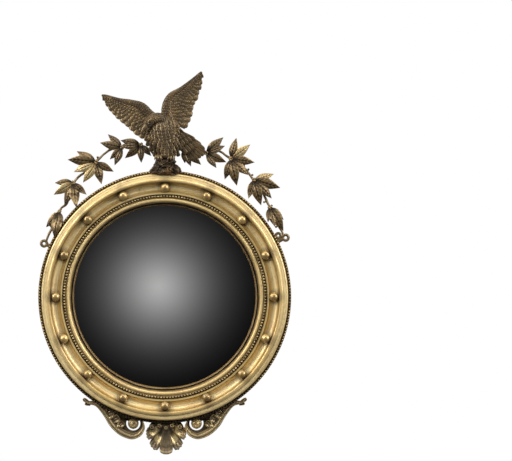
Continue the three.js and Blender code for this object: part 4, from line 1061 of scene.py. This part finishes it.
# Each a limb of x, z, depth, half width and half thickness, as the trunk is. The eye is a knob.
HEAD = [(-2, 383, 35, 17, 14), (-14, 391, 39, 15, 13), (-25, 391.5, 42, 13, 11.5),
        (-33, 386.5, 44.2, 12, 10.2), (-39, 379.5, 46, 10, 8.8), (-43, 373, 47.5, 6.5, 6)]
TAIL_ROOT = [(14, 366, 28, 14, 11), (30, 357, 27, 14, 9), (46, 346, 26, 11, 7), (62, 334, 26, 8, 4)]
BEAK = [(-38, 381, 48, 7.2, 6.4), (-43, 375.5, 50, 6.2, 5.6), (-47.5, 369.5, 51, 4.8, 4.4),
        (-50.3, 363.5, 51.5, 3.3, 3.0), (-50.6, 358.8, 51.5, 1.7, 1.6), (-49.2, 356, 51.3, 0.5, 0.5)]
LOWER_BEAK = [(-36, 375, 48, 4.6, 4), (-40.5, 369.5, 49.8, 3.4, 3), (-44.5, 364.5, 50.3, 1.2, 1.4)]
BROW = [(-27, 392, 54, 3.0, 2.2), (-33, 389.5, 55.2, 3.2, 2.3), (-38.5, 383.5, 54.6, 1.6, 1.4)]
EYE = (-36.2, 382.2, 55.3, 1.9)
body = [
    limb([(x, z, depth, 0.95 * wide, 0.87 * thick) for x, z, depth, wide, thick in TRUNK], 60, 60),
    limb(TAIL_ROOT, 50, 60), limb(HEAD, 170, 120, ripple=scales(13, 14, 0.085))]
face = [limb(BEAK, 40, 24), limb(LOWER_BEAK, 18, 16), limb(BROW, 18, 14), knob(*EYE)]

# The tail's long feathers, each a root, a tip and a half width, and shorter ones laid over
# them in layers: how many, first root, step, first tip, step, half width, depth, its step,
# rise and lean.
TAIL = [((24, 356), (63, 300.5), 6.5), ((27, 358), (71, 303.5), 6.5), ((30, 359), (79, 307.5), 6.5),
        ((32, 358), (85.5, 312.5), 6.5), ((35, 358), (89.3, 319.5), 6), ((38, 357), (88, 326), 5.5)]
TAIL_LAYERS = [(5, (20, 350), (6, 2.2), (48, 316), (8, 4.6), 5.6, 32, -0.2, 0.4, 0.6),
               (5, (14, 354), (6, 2.2), (36, 330), (7.5, 4.2), 5.4, 37, -0.6, -0.6, 0.5),
               (4, (12, 362), (6, 2.0), (29, 343), (7, 3.6), 5.2, 41, -1.4, -1.0, 0.5)]
tail = [plume(root, tip, half, 24 + 1.3 * i, 2.0, 0.6, 2.0) for i, (root, tip, half) in enumerate(TAIL)]
for count, root, root_step, tip, tip_step, half, depth, sinks, rise, lean in TAIL_LAYERS:
    for i in range(count):
        tail.append(plume(np.add(root, np.multiply(root_step, i)), np.add(tip, np.multiply(tip_step, i)),
                          half, depth + sinks * i, rise, lean, 2.0))

# A toe's reach from its leg, height over the rock, depth and radius.
LEGS = (-14, 15)
TOE_SPREADS = (-34, -6, 24)
TOE = ((0, 3, 36, 3.4), (5, 3.6, 37, 3.0), (10, 2.4, 38, 2.6), (14, -1.5, 38.5, 1.9), (15.5, -6, 38.5, 0.5))
claws = []
for leg in LEGS:
    for spread in TOE_SPREADS:
        turn = math.radians(spread)
        toe = [(leg + reach * math.sin(turn), ROCK_TOP + up, depth + reach * math.cos(turn) * 0.8, r, r)
               for reach, up, depth, r in TOE]
        rings = []
        for x, z, depth, r, _ in spline(toe, 16):
            t = np.arange(10) * math.tau / 10
            rings.append(np.stack([x + r * np.cos(t), depth + 0 * t, z + r * np.sin(t)], -1))
        claws.append(skin(rings))
carving("carved_eagle", [*body, *feathers, *face, *tail, *claws], dark_bronzing,
        "bronzed_gilt", ["eagle_body"], 3, 0.5, 50)

# ---- Wings ----------------------------------------------------------------------------
# Each wing is a thin carved board let in behind the shoulder, with six rows of feathers cut
# one over the other, small along the leading edge and long at the scalloped trailing edge.
WING_STEPS = 200
WING_BOARD = ((0, 2.6), (0.35, 2.2), (0.7, 1.6), (1.0, 0.8))        # place across, thickness
BOARD_SINK = 1.5

# A row's feathers, where they start and end across the wing, lift, and width for their gap.
WING_ROWS = [(10, 0.40, 1.0, 0.0, 0.62), (13, 0.27, 0.80, 1.1, 0.66), (16, 0.17, 0.62, 2.0, 0.68),
             (19, 0.07, 0.46, 2.8, 0.68), (21, 0.0, 0.33, 3.4, 0.70), (22, -0.07, 0.20, 3.9, 0.72)]

# The arm along the leading edge, as a limb, and the trailing edge as x, z points.
WINGS = {
    "left": ([(-14, 386, 26, 13, 6), (-34, 402, 25, 11, 6), (-52, 420, 24, 10, 5.5), (-76, 429, 22, 7.5, 5),
              (-102, 434, 20, 6, 4), (-128, 443, 18, 4.2, 2.6), (-138, 446, 17, 2.6, 1.8),
              (-140.6, 446.8, 17, 1, 0.9)],
             [(-44, 346), (-55, 350), (-66, 359), (-80, 370), (-94, 383), (-108, 396), (-124, 414),
              (-135, 432), (-139.5, 444)]),
    "right": ([(10, 384, 26, 13, 6), (4, 404, 25, 11.5, 6), (5, 426, 24, 10, 5.5), (14, 445, 22, 7.5, 5),
               (36, 459, 20, 6, 4), (60, 478, 18, 4.8, 3.2), (79, 496, 16, 3.0, 1.8),
               (82, 498.8, 16, 1.2, 1.0)],
              [(48, 366), (54, 380), (60, 396), (64, 410), (69, 427), (75, 446), (80.5, 465),
               (83.8, 484), (84.5, 496)]),
}


def on_wing(lead, edge, u, v):
    """A point at the share u from shoulder to tip and v from the arm to the trailing edge."""
    i = int(round(min(max(u, 0), 1) * WING_STEPS))
    return lead[i, :2] * (1 - v) + edge[i] * v


for hand, (arm, trail) in WINGS.items():
    lead, edge = spline(arm, WING_STEPS + 1), spline(trail, WING_STEPS + 1)
    shells = [limb(arm, 170, 70, ripple=scales(28, 10, 0.10))]
    board = []
    for u in np.linspace(0.02, 0.97, 40):
        depth = lead[int(u * WING_STEPS), 2] - BOARD_SINK
        near, far = on_wing(lead, edge, u, 0), on_wing(lead, edge, u, 0.86)
        top, low = [], []
        for place, thick in WING_BOARD:
            x, z = near * (1 - place) + far * place
            top.append((x, depth, z))
            low.append((x, depth - thick * 1.4, z))
        board.append(np.array([*top, *low[::-1]]))
    # Painted shade: the board under the feathers is darker.
    shells.append(skin(board, np.full(len(board), 0.6)))
    for count, start, stop, lift, share in WING_ROWS:
        for i in range(count):
            u = (i + 0.5) / count * 0.95 + 0.02
            reach = stop + uneven.uniform(-0.06, 0.02)
            root = on_wing(lead, edge, u - 0.02, start)
            tip = on_wing(lead, edge, min(u + 0.045, 0.985), reach)
            before = on_wing(lead, edge, u - 0.5 / count, (start + stop) / 2)
            after = on_wing(lead, edge, u + 0.5 / count, (start + stop) / 2)
            taper = 1 - 0.45 * smoothstep(u, 0.75, 1.0)
            half = np.linalg.norm(after - before) * share * uneven.uniform(0.9, 1.08) * taper
            depth = lead[int(u * WING_STEPS), 2] - 2.4 + lift + uneven.uniform(-0.25, 0.25)
            lean = 0.5 if hand == "left" else -0.5
            shells.append(plume(root, tip, max(half, 1.3), depth, 0.8 - 0.9 * (u > 0.9), lean, 1.9))
    carving(f"{hand}_wing", shells, dark_bronzing, "bronzed_gilt", [f"wing_{hand}"], 3, 0.5, 50)

# ---- Apron ----------------------------------------------------------------------------
# A palmette with a turned-over lip between two leafy C-scrolls, carved in limewood and glued
# and dowelled under the rim. Bright gold is left in its hollows.
APRON_DEPTH = 20
TONGUE_THICK = 3.0
apron_finish = bronzing("apron_bronzing", (0.018, 0.011, 0.006), (0.19, 0.145, 0.088), (0.56, 0.43, 0.22),
                        patch=(0.56, 0.34, 0.11), patchiness=0.5, gilt_hollows=True)


def tongue(foot, tip, half, depth, rise, scoop, lip, flutes):
    """A lobe of acanthus: scooped between raised rims, fluted, its end turned forwards."""
    foot, tip = np.array(foot, float), np.array(tip, float)
    length = np.linalg.norm(tip - foot)
    along = (tip - foot) / length
    side = np.array([-along[1], along[0]])
    share = np.linspace(0, 1, 26)
    width = half * np.interp(share, (0, 0.3, 0.62, 0.82, 0.94, 1.0), (0.5, 0.72, 1.0, 0.95, 0.7, 0.34))
    u = np.linspace(-1, 1, 21)
    s, uu = share[:, None], u[None, :]
    over = np.clip((s - 0.72) / 0.28, 0, 1)
    fluting = 0.45 * np.cos(2 * math.pi * flutes * uu / 2) * (1 - over)
    front = scoop * half * (uu ** 2 - 0.35) * (1 - 0.5 * over) + fluting
    front = front + lip * over ** 2 - 0.9 * np.clip((np.abs(uu) - 0.86) / 0.14, 0, 1) ** 2
    base = depth + rise * np.sin(share * math.pi / 2)
    rings = []
    for i, w in enumerate(width):
        line = foot[:, None] + along[:, None] * share[i] * length + side[:, None] * (u * w)[None, :]
        top = np.stack([line[0], base[i] + front[i], line[1]], -1)
        low = np.stack([line[0], base[i] + front[i] * 0.7 - TONGUE_THICK, line[1]], -1)[::-1]
        rings.append(np.vstack([top, low]))
    # Painted shade: each lobe is darker at its foot.
    return skin(rings, 0.5 + 0.5 * smoothstep(share, 0.0, 0.55))


def sawn_web(outline, holes, back, front):
    """A flat web sawn to an outline of x, z points, with holes, between two depths."""
    curve = bpy.data.curves.new("web", "CURVE")
    curve.dimensions, curve.fill_mode, curve.extrude = "2D", "BOTH", (front - back) / 2
    for line in (outline, *holes):
        line = np.array(line)
        run = curve.splines.new("POLY")
        run.points.add(len(line) - 1)
        run.points.foreach_set("co", np.column_stack([line, np.zeros(len(line)), np.ones(len(line))]).ravel())
        run.use_cyclic_u = True
    sheet = bpy.data.objects.new("web", curve)
    bpy.context.scene.collection.objects.link(sheet)
    bpy.context.view_layer.update()
    mesh = sheet.to_mesh()
    shape = bmesh.new()
    shape.from_mesh(mesh)
    bmesh.ops.remove_doubles(shape, verts=shape.verts, dist=1e-4)
    points = np.array([[v.co.x, -BACK - (front + back) / 2 - v.co.z, v.co.y] for v in shape.verts])
    faces = [[v.index for v in face.verts] for face in shape.faces]
    shape.free()
    sheet.to_mesh_clear()
    bpy.data.objects.remove(sheet)
    bpy.data.curves.remove(curve)
    # Painted shade: the web behind the carving is darker.
    return points, faces, np.full(len(points), 0.45)


PALM_MIDDLE = (3, -283)
PALM_LOBES = (-84, -46, -16.5, 16.5, 46, 84)          # degrees from straight down, where lobes meet
PALM_REACH = ((0, 26, 43, 63, 84), (65.8, 62.5, 57, 50, 44))
PALM_FRONT, PALM_THICK = 26, 5
MIDDLE_LOBE, END_LOBES = 2, (0, 4)
LOBE_HOLLOW, LOBE_LIP = 6.5, 4.0
MIDDLE_HOLLOW, ROLLED_LIP = 1.6, 6.5


def fan():
    """Five lobes spread like a shell: hollow between raised ribs, edges turned forwards, the
    middle one flatter with a rolled lip."""
    share = np.linspace(0.1, 1, 44)
    rings, shades = [], []
    for phi in np.linspace(PALM_LOBES[0], PALM_LOBES[-1], 201):
        lobe = min(max(int(np.searchsorted(PALM_LOBES, phi, "right")) - 1, 0), 4)
        first, last = PALM_LOBES[lobe:lobe + 2]
        local = 2 * (phi - first) / (last - first) - 1
        serration = (0.003 if lobe == MIDDLE_LOBE else 0.016) * (1 + math.cos(math.radians(phi * 47)))
        notch = 0.18 * abs(local) ** 5 + serration
        reach = np.interp(abs(phi), *PALM_REACH) * (1 - notch)
        grown, lip = smoothstep(share, 0.1, 0.5), smoothstep(share, 0.76, 0.97)
        bowl = 1 - local ** 2
        if lobe == MIDDLE_LOBE:
            form = (0.12 * math.cos(5 * math.pi * local) - MIDDLE_HOLLOW * bowl) * grown * (1 - lip)
            form = form + ROLLED_LIP * lip
            gold = 0.6 * np.exp(-((share - 0.7) / 0.2) ** 2)
        else:
            form = (0.3 * math.cos(4 * math.pi * local) - LOBE_HOLLOW * bowl) * grown * (1 - 0.45 * lip)
            form = form + LOBE_LIP * lip * (1 - 0.4 * local ** 2)
            strength = 4.0 if lobe in END_LOBES else 2.2
            gold = strength * bowl * np.exp(-((share - 0.62) / 0.17) ** 2)
        front = PALM_FRONT + form - 2.2 * smoothstep(share, 0.955, 1.0)
        turn = math.radians(phi)
        x = PALM_MIDDLE[0] + share * reach * math.sin(turn)
        z = PALM_MIDDLE[1] - share * reach * math.cos(turn)
        rings.append(np.vstack([np.stack([x, front, z], -1), np.stack([x, front - PALM_THICK, z], -1)[::-1]]))
        # Painted shade: the fan's back, against the wall, is darker.
        shades.append(np.r_[0.7 + gold, np.full(len(share), 0.4)])
    return skin(rings, np.array(shades))


WEB_BACK, WEB_FRONT = 6, 15
PALM_WEB = [(-24, -270), (-30, -300), (-18, -325), (3, -334), (24, -325), (36, -300), (30, -270)]
PALM_CURLS = ((-28, -288, 6.6), (34, -288, 6.6), (-11, -285, 6.0), (17, -285, 6.0), (3, -290, 5.2))
CURL_WIRE = (1.2, 1.5)
palmette = [fan(), sawn_web(PALM_WEB, [], WEB_BACK, WEB_FRONT)]
for x, z, size in PALM_CURLS:
    foot, tip = (x * 0.8, -272), (x + 0.12 * (x - 3), z - size)
    points, faces, shade = tongue(foot, tip, size, PALM_FRONT - 4, 5, 0.6, 4, 3)
    palmette.append((points, faces, shade * 0.55))
    curl = []
    for s in np.linspace(0, 1, 14):
        reach, turn = size * (1 - 0.7 * s), 7.5 * s + 1
        curl.append((x + reach * 0.8 * math.cos(turn), z + reach * 0.7 * math.sin(turn),
                     PALM_FRONT + 3 + 2 * s, *CURL_WIRE))
    palmette.append(limb(curl, 50, 10))
carving("apron_palmette", palmette, apron_finish, "bronzed_gilt", ["apron_leaf"], 4, 1.0, 45)

SCROLL_CURVE = [(181, -225), (170, -236), (154, -241), (143, -252), (132, -268), (121, -286),
                (105, -302), (89, -311), (71, -315), (54, -308), (46, -296), (44.5, -285), (49, -275)]
SCROLL_STEPS = 60
SCROLL_HALF = ((0, 0.12, 0.3, 0.6, 0.85, 1), (1.2, 4.2, 5.5, 7.2, 5.6, 1.8))  # along it, half width
SCROLL_RIM = 1.2
VOLUTE = (70, -281)
VOLUTE_BOSS_R = 11.8
CRESCENT = 3.8
SCROLL_KNOBS = ((121, -268, 27, 3.6), (103, -286, 27, 4.2))

# Leaves on a scroll: foot, tip, half width, depth and how far the end turns forwards.
SCROLL_LEAVES = [((163, -238), (181, -225.5), 4.5, 18, 2), ((165, -240), (177, -236.5), 3.2, 17, 1),
                 ((142, -253), (129, -249), 6.5, 19, 5), ((131, -262), (113, -258), 8, 20, 6),
                 ((119, -276), (101, -266), 9, 21, 7), ((107, -290), (91, -277), 7.5, 20, 6)]


def round_volute(radius, turns):
    """Points round the middle of the volute."""
    return [(VOLUTE[0] + radius * math.cos(t), VOLUTE[1] + radius * math.sin(t)) for t in turns]


def band_moulding(t, turn):
    """Flutes along the scroll's band, and notches across its narrow start."""
    return 0.07 * np.cos(4 * turn) + 0.03 * np.sin(70 * t) * (t < 0.35)


outer = spline(SCROLL_CURVE, SCROLL_STEPS)
inward = np.gradient(outer, axis=0)
inward = np.column_stack([inward[:, 1], -inward[:, 0]]) / np.linalg.norm(inward, axis=1)[:, None]
band_half = np.interp(np.linspace(0, 1, SCROLL_STEPS), *SCROLL_HALF)
band_line = outer + inward * band_half[:, None]
band = np.column_stack([band_line, np.full(SCROLL_STEPS, APRON_DEPTH), band_half, 5 + band_half * 0.55])
rim_sizes = np.tile((APRON_DEPTH + 6.5, 1.5, 1.8), (SCROLL_STEPS, 1))
rim = np.column_stack([outer + inward * SCROLL_RIM, rim_sizes])
crescent_turns = np.radians(np.linspace(-205, 25, 36))
crescent = (round_volute(VOLUTE_BOSS_R + CRESCENT, crescent_turns)
            + round_volute(VOLUTE_BOSS_R, crescent_turns[::-1]))
spiral = []
for t in np.linspace(0, 1, 22):
    reach = 9.6 * (1 - t) ** 0.8 + 0.6
    turn = math.radians(150 - 520 * t)
    spiral.append((VOLUTE[0] + reach * math.cos(turn), VOLUTE[1] + reach * math.sin(turn),
                   APRON_DEPTH + 3.5 + 6 * t, 2.3 * (1 - 0.4 * t), 2.6))
scroll = [sawn_web([*band_line[3:], (50, -264), (120, -238)], [crescent], WEB_BACK, WEB_FRONT),
          limb(band, 150, 30, ripple=band_moulding), limb(rim, 120, 10),
          knob(*VOLUTE, APRON_DEPTH - 1, VOLUTE_BOSS_R, 0.8), limb(spiral, 110, 12)]
for foot, tip, half, depth, lip in SCROLL_LEAVES:
    points, faces, shade = tongue(foot, tip, half, depth, 3, 0.38, lip, 3)
    scroll.append((points, faces, shade * 1.35))
scroll += [knob(*place) for place in SCROLL_KNOBS]
for hand, side in (("left", -1), ("right", 1)):
    shells = [(points * (side, 1, 1), faces, shade) for points, faces, shade in scroll]
    carving(f"{hand}_apron_scroll", shells, apron_finish, "bronzed_gilt",
            [f"apron_scroll_{hand}"], 3, 0.8, 45)

# ---- Backboard ------------------------------------------------------------------------
# Old pine boards, jointed edge to edge and sawn round, held on the frame's back by four
# slotted iron screws. Four pine blocks between them and the glass keep it in its rebate.
BOARD_R = 230
BOARD_THICK = 12
PLANK = 152
BOARD_SCREW_R = 223.15
SCREW_HOLE_R = 4.55
SCREW_SINK = 0.5


def round_line(x, z, radius, steps):
    """A circle for the saw, as x, z points."""
    turns = np.arange(steps) * math.tau / steps
    return np.column_stack([x + radius * np.cos(turns), z + radius * np.sin(turns)])


def flat_piece(name, shells, finish, slot, nodes, body="frame"):
    """Plain pieces with crisp edges."""
    carving(name, shells, finish, slot, nodes, 1, 1.0, 30, body)


pine = Finish("old_pine", Specular_IOR_Level=0.2)
plank_x, plank_z = pine.axis("X") / MM, pine.axis("Z") / MM
plank = plank_x / PLANK + 0.5
pine_tone, pine_fibres = pine.grain(plank_x, plank_z, plank.sum("FLOOR") * 5.3)
plank_edge = (plank.sum("FRACT") - 0.5).sum("ABSOLUTE")
pine_tone = pine.mix(pine.ramp(plank_edge, (0.4955, 0.0), (0.4975, 1.0)), pine_tone, (0.02, 0.013, 0.008))
old_pine = pine.done(Base_Color=pine_tone, Roughness=pine.ramp(pine_fibres, (0.3, 0.7), (0.7, 0.88)),
                     Normal=pine.bump(pine_fibres, 0.0005, 0.5))
board_screws = [(BOARD_SCREW_R * math.sin(t), BOARD_SCREW_R * math.cos(t))
                for t in np.radians([45, 135, 225, 315])]
screw_holes = [round_line(x, z, SCREW_HOLE_R, 32) for x, z in board_screws]
pine_disc = sawn_web(round_line(0, 0, BOARD_R, 256), screw_holes, -BOARD_THICK, -FIT)
flat_piece("pine_backboard", [pine_disc], old_pine, "bare_pine", ["backboard"])
for i in range(4):
    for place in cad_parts[f"glazing_block_{i + 1}"].material_slots:
        place.material = old_pine

# ---- Screws ---------------------------------------------------------------------------
# Hand-cut countersunk screws, iron in the boards and the crest strap, brass in the hangers.
# Each has a filed slot that stopped at its own angle.
SCREW_HEAD_R = 4.2
SCREW_SHANK_R = 2.0
SCREW_HEAD = 2.4
SCREW_SLOT = (0.9, 1.6)
screws = Recipe("screws", [("Length", "Float"), ("Seed", "Int")])
head = screws.node("GeometryNodeMeshCone", {}, {
    "Vertices": 32, "Radius Top": SCREW_SHANK_R * MM, "Radius Bottom": SCREW_HEAD_R * MM,
    "Depth": SCREW_HEAD * MM})
slot_cut = screws.node("GeometryNodeMeshCube", {}, {
    "Size": (3 * SCREW_HEAD_R * MM, SCREW_SLOT[0] * MM, SCREW_SLOT[1] * MM)})
slotted = screws.node("GeometryNodeMeshBoolean", {"operation": "DIFFERENCE"},
                      {"Mesh 1": head, "Mesh 2": slot_cut})
length = screws.given["Length"]
shank = screws.node("GeometryNodeMeshCylinder", {}, {
    "Vertices": 16, "Radius": SCREW_SHANK_R * MM, "Depth": length})
shank_place = screws.node("ShaderNodeCombineXYZ", {}, {2: length * 0.5 + SCREW_HEAD * 0.9 * MM})
whole = screws.node("GeometryNodeJoinGeometry")
for part in (slotted, screws.moved(shank, Translation=shank_place)):
    screws.tree.links.new(part.out, whole.out.node.inputs[0])
spin = screws.node("FunctionNodeRandomValue", {"data_type": "FLOAT"},
                   {"Min": 0.0, "Max": math.pi, "Seed": screws.given["Seed"]}, "Value")
stood = screws.node("GeometryNodeInstanceOnPoints", {}, {
    "Points": screws.given["Drawing"], "Instance": whole,
    "Rotation": screws.node("ShaderNodeCombineXYZ", {}, {2: spin})})
screws.ends_in(screws.moved(stood, Rotation=(math.pi / 2, 0, 0)))


def screw_set(name, places, head_depth, length, finish, seed, slot, nodes):
    """Screws at x, z places, driven forwards from a head at one depth."""
    points = [(x * MM, z * MM, (BACK + head_depth) * MM) for x, z in places]
    sizes = {"Length": (length - SCREW_HEAD) * MM, "Seed": seed, "Finish": finish}
    made = screws.make(name, sizes, points, (), 30)
    seat(made, "frame", slot, *nodes)


old_iron = Finish("old_iron", Specular_IOR_Level=0.4)
rust = old_iron.noise(90.0, 6.0, 0.7)
rust_share = old_iron.ramp(rust, (0.42, 0.0), (0.6, 0.85))
iron_finish = old_iron.done(
    Base_Color=old_iron.mix(rust_share, (0.13, 0.12, 0.11), (0.11, 0.045, 0.02)),
    Metallic=0.85 - rust_share * 0.8, Roughness=rust_share * 0.35 + 0.45,
    Normal=old_iron.bump(rust, 0.0003, 0.5))
old_brass = Finish("old_brass", Specular_IOR_Level=0.5)
dulled = old_brass.noise(70.0, 5.0, 0.65, offset=(6, 2, 3))
brass_share = old_brass.ramp(dulled, (0.4, 0.0), (0.65, 0.8))
brass_finish = old_brass.done(
    Base_Color=old_brass.mix(brass_share, (0.60, 0.43, 0.17), (0.16, 0.105, 0.045)),
    Metallic=0.95 - brass_share * 0.3, Roughness=brass_share * 0.25 + 0.3)
HINGE_X, HINGE_Z = 217.72, 151.82
STRAP_BACK, CREST_STRAP_BACK = -1.9, -3.3
HANGER_SCREW_DROPS = (27.7, 37.8)
CREST_SCREW = (0, 251)
PROUD = 0.6
LONG_SCREW, SHORT_SCREW = 20.5, 11
hanger_screws = [(side * HINGE_X, HINGE_Z - drop) for side in (-1, 1) for drop in HANGER_SCREW_DROPS]
screw_set("backboard_screws", board_screws, SCREW_SINK - BOARD_THICK, LONG_SCREW, iron_finish, 3,
          "iron", [f"backboard_screw_{i + 1}" for i in range(4)])
screw_set("hanger_screws", hanger_screws, STRAP_BACK - PROUD, SHORT_SCREW, brass_finish, 5,
          "brass", [f"hanger_screw_{i + 1}" for i in range(4)])
screw_set("crest_strap_screws", [CREST_SCREW], CREST_STRAP_BACK - PROUD, SHORT_SCREW, iron_finish, 8,
          "iron", ["crest_strap_screw"])

# ---- Crest strap ----------------------------------------------------------------------
# A flat iron strap, screwed to the frame's back and let into the rock behind the eagle. Its
# lower corners are cut off.
CREST_STRAP_HALF = 9
CREST_STRAP_ENDS = (235, 300)
CREST_STRAP_CORNER = 2.5
low_end, high_end = CREST_STRAP_ENDS
corner_x, corner_z = CREST_STRAP_HALF - CREST_STRAP_CORNER, low_end + CREST_STRAP_CORNER
strap_line = [(-CREST_STRAP_HALF, corner_z), (-corner_x, low_end), (corner_x, low_end),
              (CREST_STRAP_HALF, corner_z), (CREST_STRAP_HALF, high_end), (-CREST_STRAP_HALF, high_end)]
strap = sawn_web(strap_line, [round_line(*CREST_SCREW, SCREW_HOLE_R, 32)], CREST_STRAP_BACK, -FIT)
flat_piece("crest_strap_iron", [strap], iron_finish, "iron", ["crest_strap"])

# ---- Ring hangers ---------------------------------------------------------------------
# Two brass straps on the frame's back, each rolled over at its top round the bar of a
# D-shaped ring. The rings turn on their bars and hang down at rest.
STRAP_OUTLINE = [(-6, 0.5), (-6, -6), (-8, -12), (-8, -37), (-4, -42), (4, -42), (8, -37), (8, -12),
                 (6, -6), (6, 0.5)]
STRAP_HOLE_R = 3.9
PIVOT_DEPTH = -3.8
ROLL_OUTER, ROLL_INNER, ROLL_HALF = 3.3, 1.9, 6
RING_WIRE_R = 1.5
RING_BOW = 10
RING_LINE = [(0, 0), (8, 0), (9.6, -0.6), (RING_BOW, -2.4), (RING_BOW, -RING_BOW),
             *((RING_BOW * math.cos(t), -RING_BOW + RING_BOW * math.sin(t))
               for t in np.radians([-30, -60, -90, -120, -150])),
             (-RING_BOW, -RING_BOW), (-RING_BOW, -2.4), (-9.6, -0.6), (-8, 0), (0, 0)]
roll_turns = np.radians(np.linspace(-18, 322, 40))
roll_line = [(PIVOT_DEPTH + radius * math.cos(t), HINGE_Z + radius * math.sin(t))
             for radius, turns in ((ROLL_OUTER, roll_turns), (ROLL_INNER, roll_turns[::-1])) for t in turns]
for hand, side in (("left", -1), ("right", 1)):
    hinge_x = side * HINGE_X
    holes = [round_line(hinge_x, HINGE_Z - drop, STRAP_HOLE_R, 32) for drop in HANGER_SCREW_DROPS]
    plate_line = [(hinge_x + x, HINGE_Z + z) for x, z in STRAP_OUTLINE]
    plate = sawn_web(plate_line, holes, STRAP_BACK, -FIT)
    roll_ends = (hinge_x - ROLL_HALF, hinge_x + ROLL_HALF)
    roll = skin([[(x, depth, z) for depth, z in roll_line] for x in roll_ends])
    flat_piece(f"{hand}_hanger_plate", [plate, roll], brass_finish, "brass", [f"hanger_strap_{hand}"])
    bar_and_bow = [(hinge_x + x, HINGE_Z + z, PIVOT_DEPTH, RING_WIRE_R, RING_WIRE_R) for x, z in RING_LINE]
    flat_piece(f"{hand}_ring_wire", [limb(bar_and_bow, 97, 16, loop=True)], brass_finish, "brass",
               [f"hanging_ring_{hand}"], f"{hand}_ring")
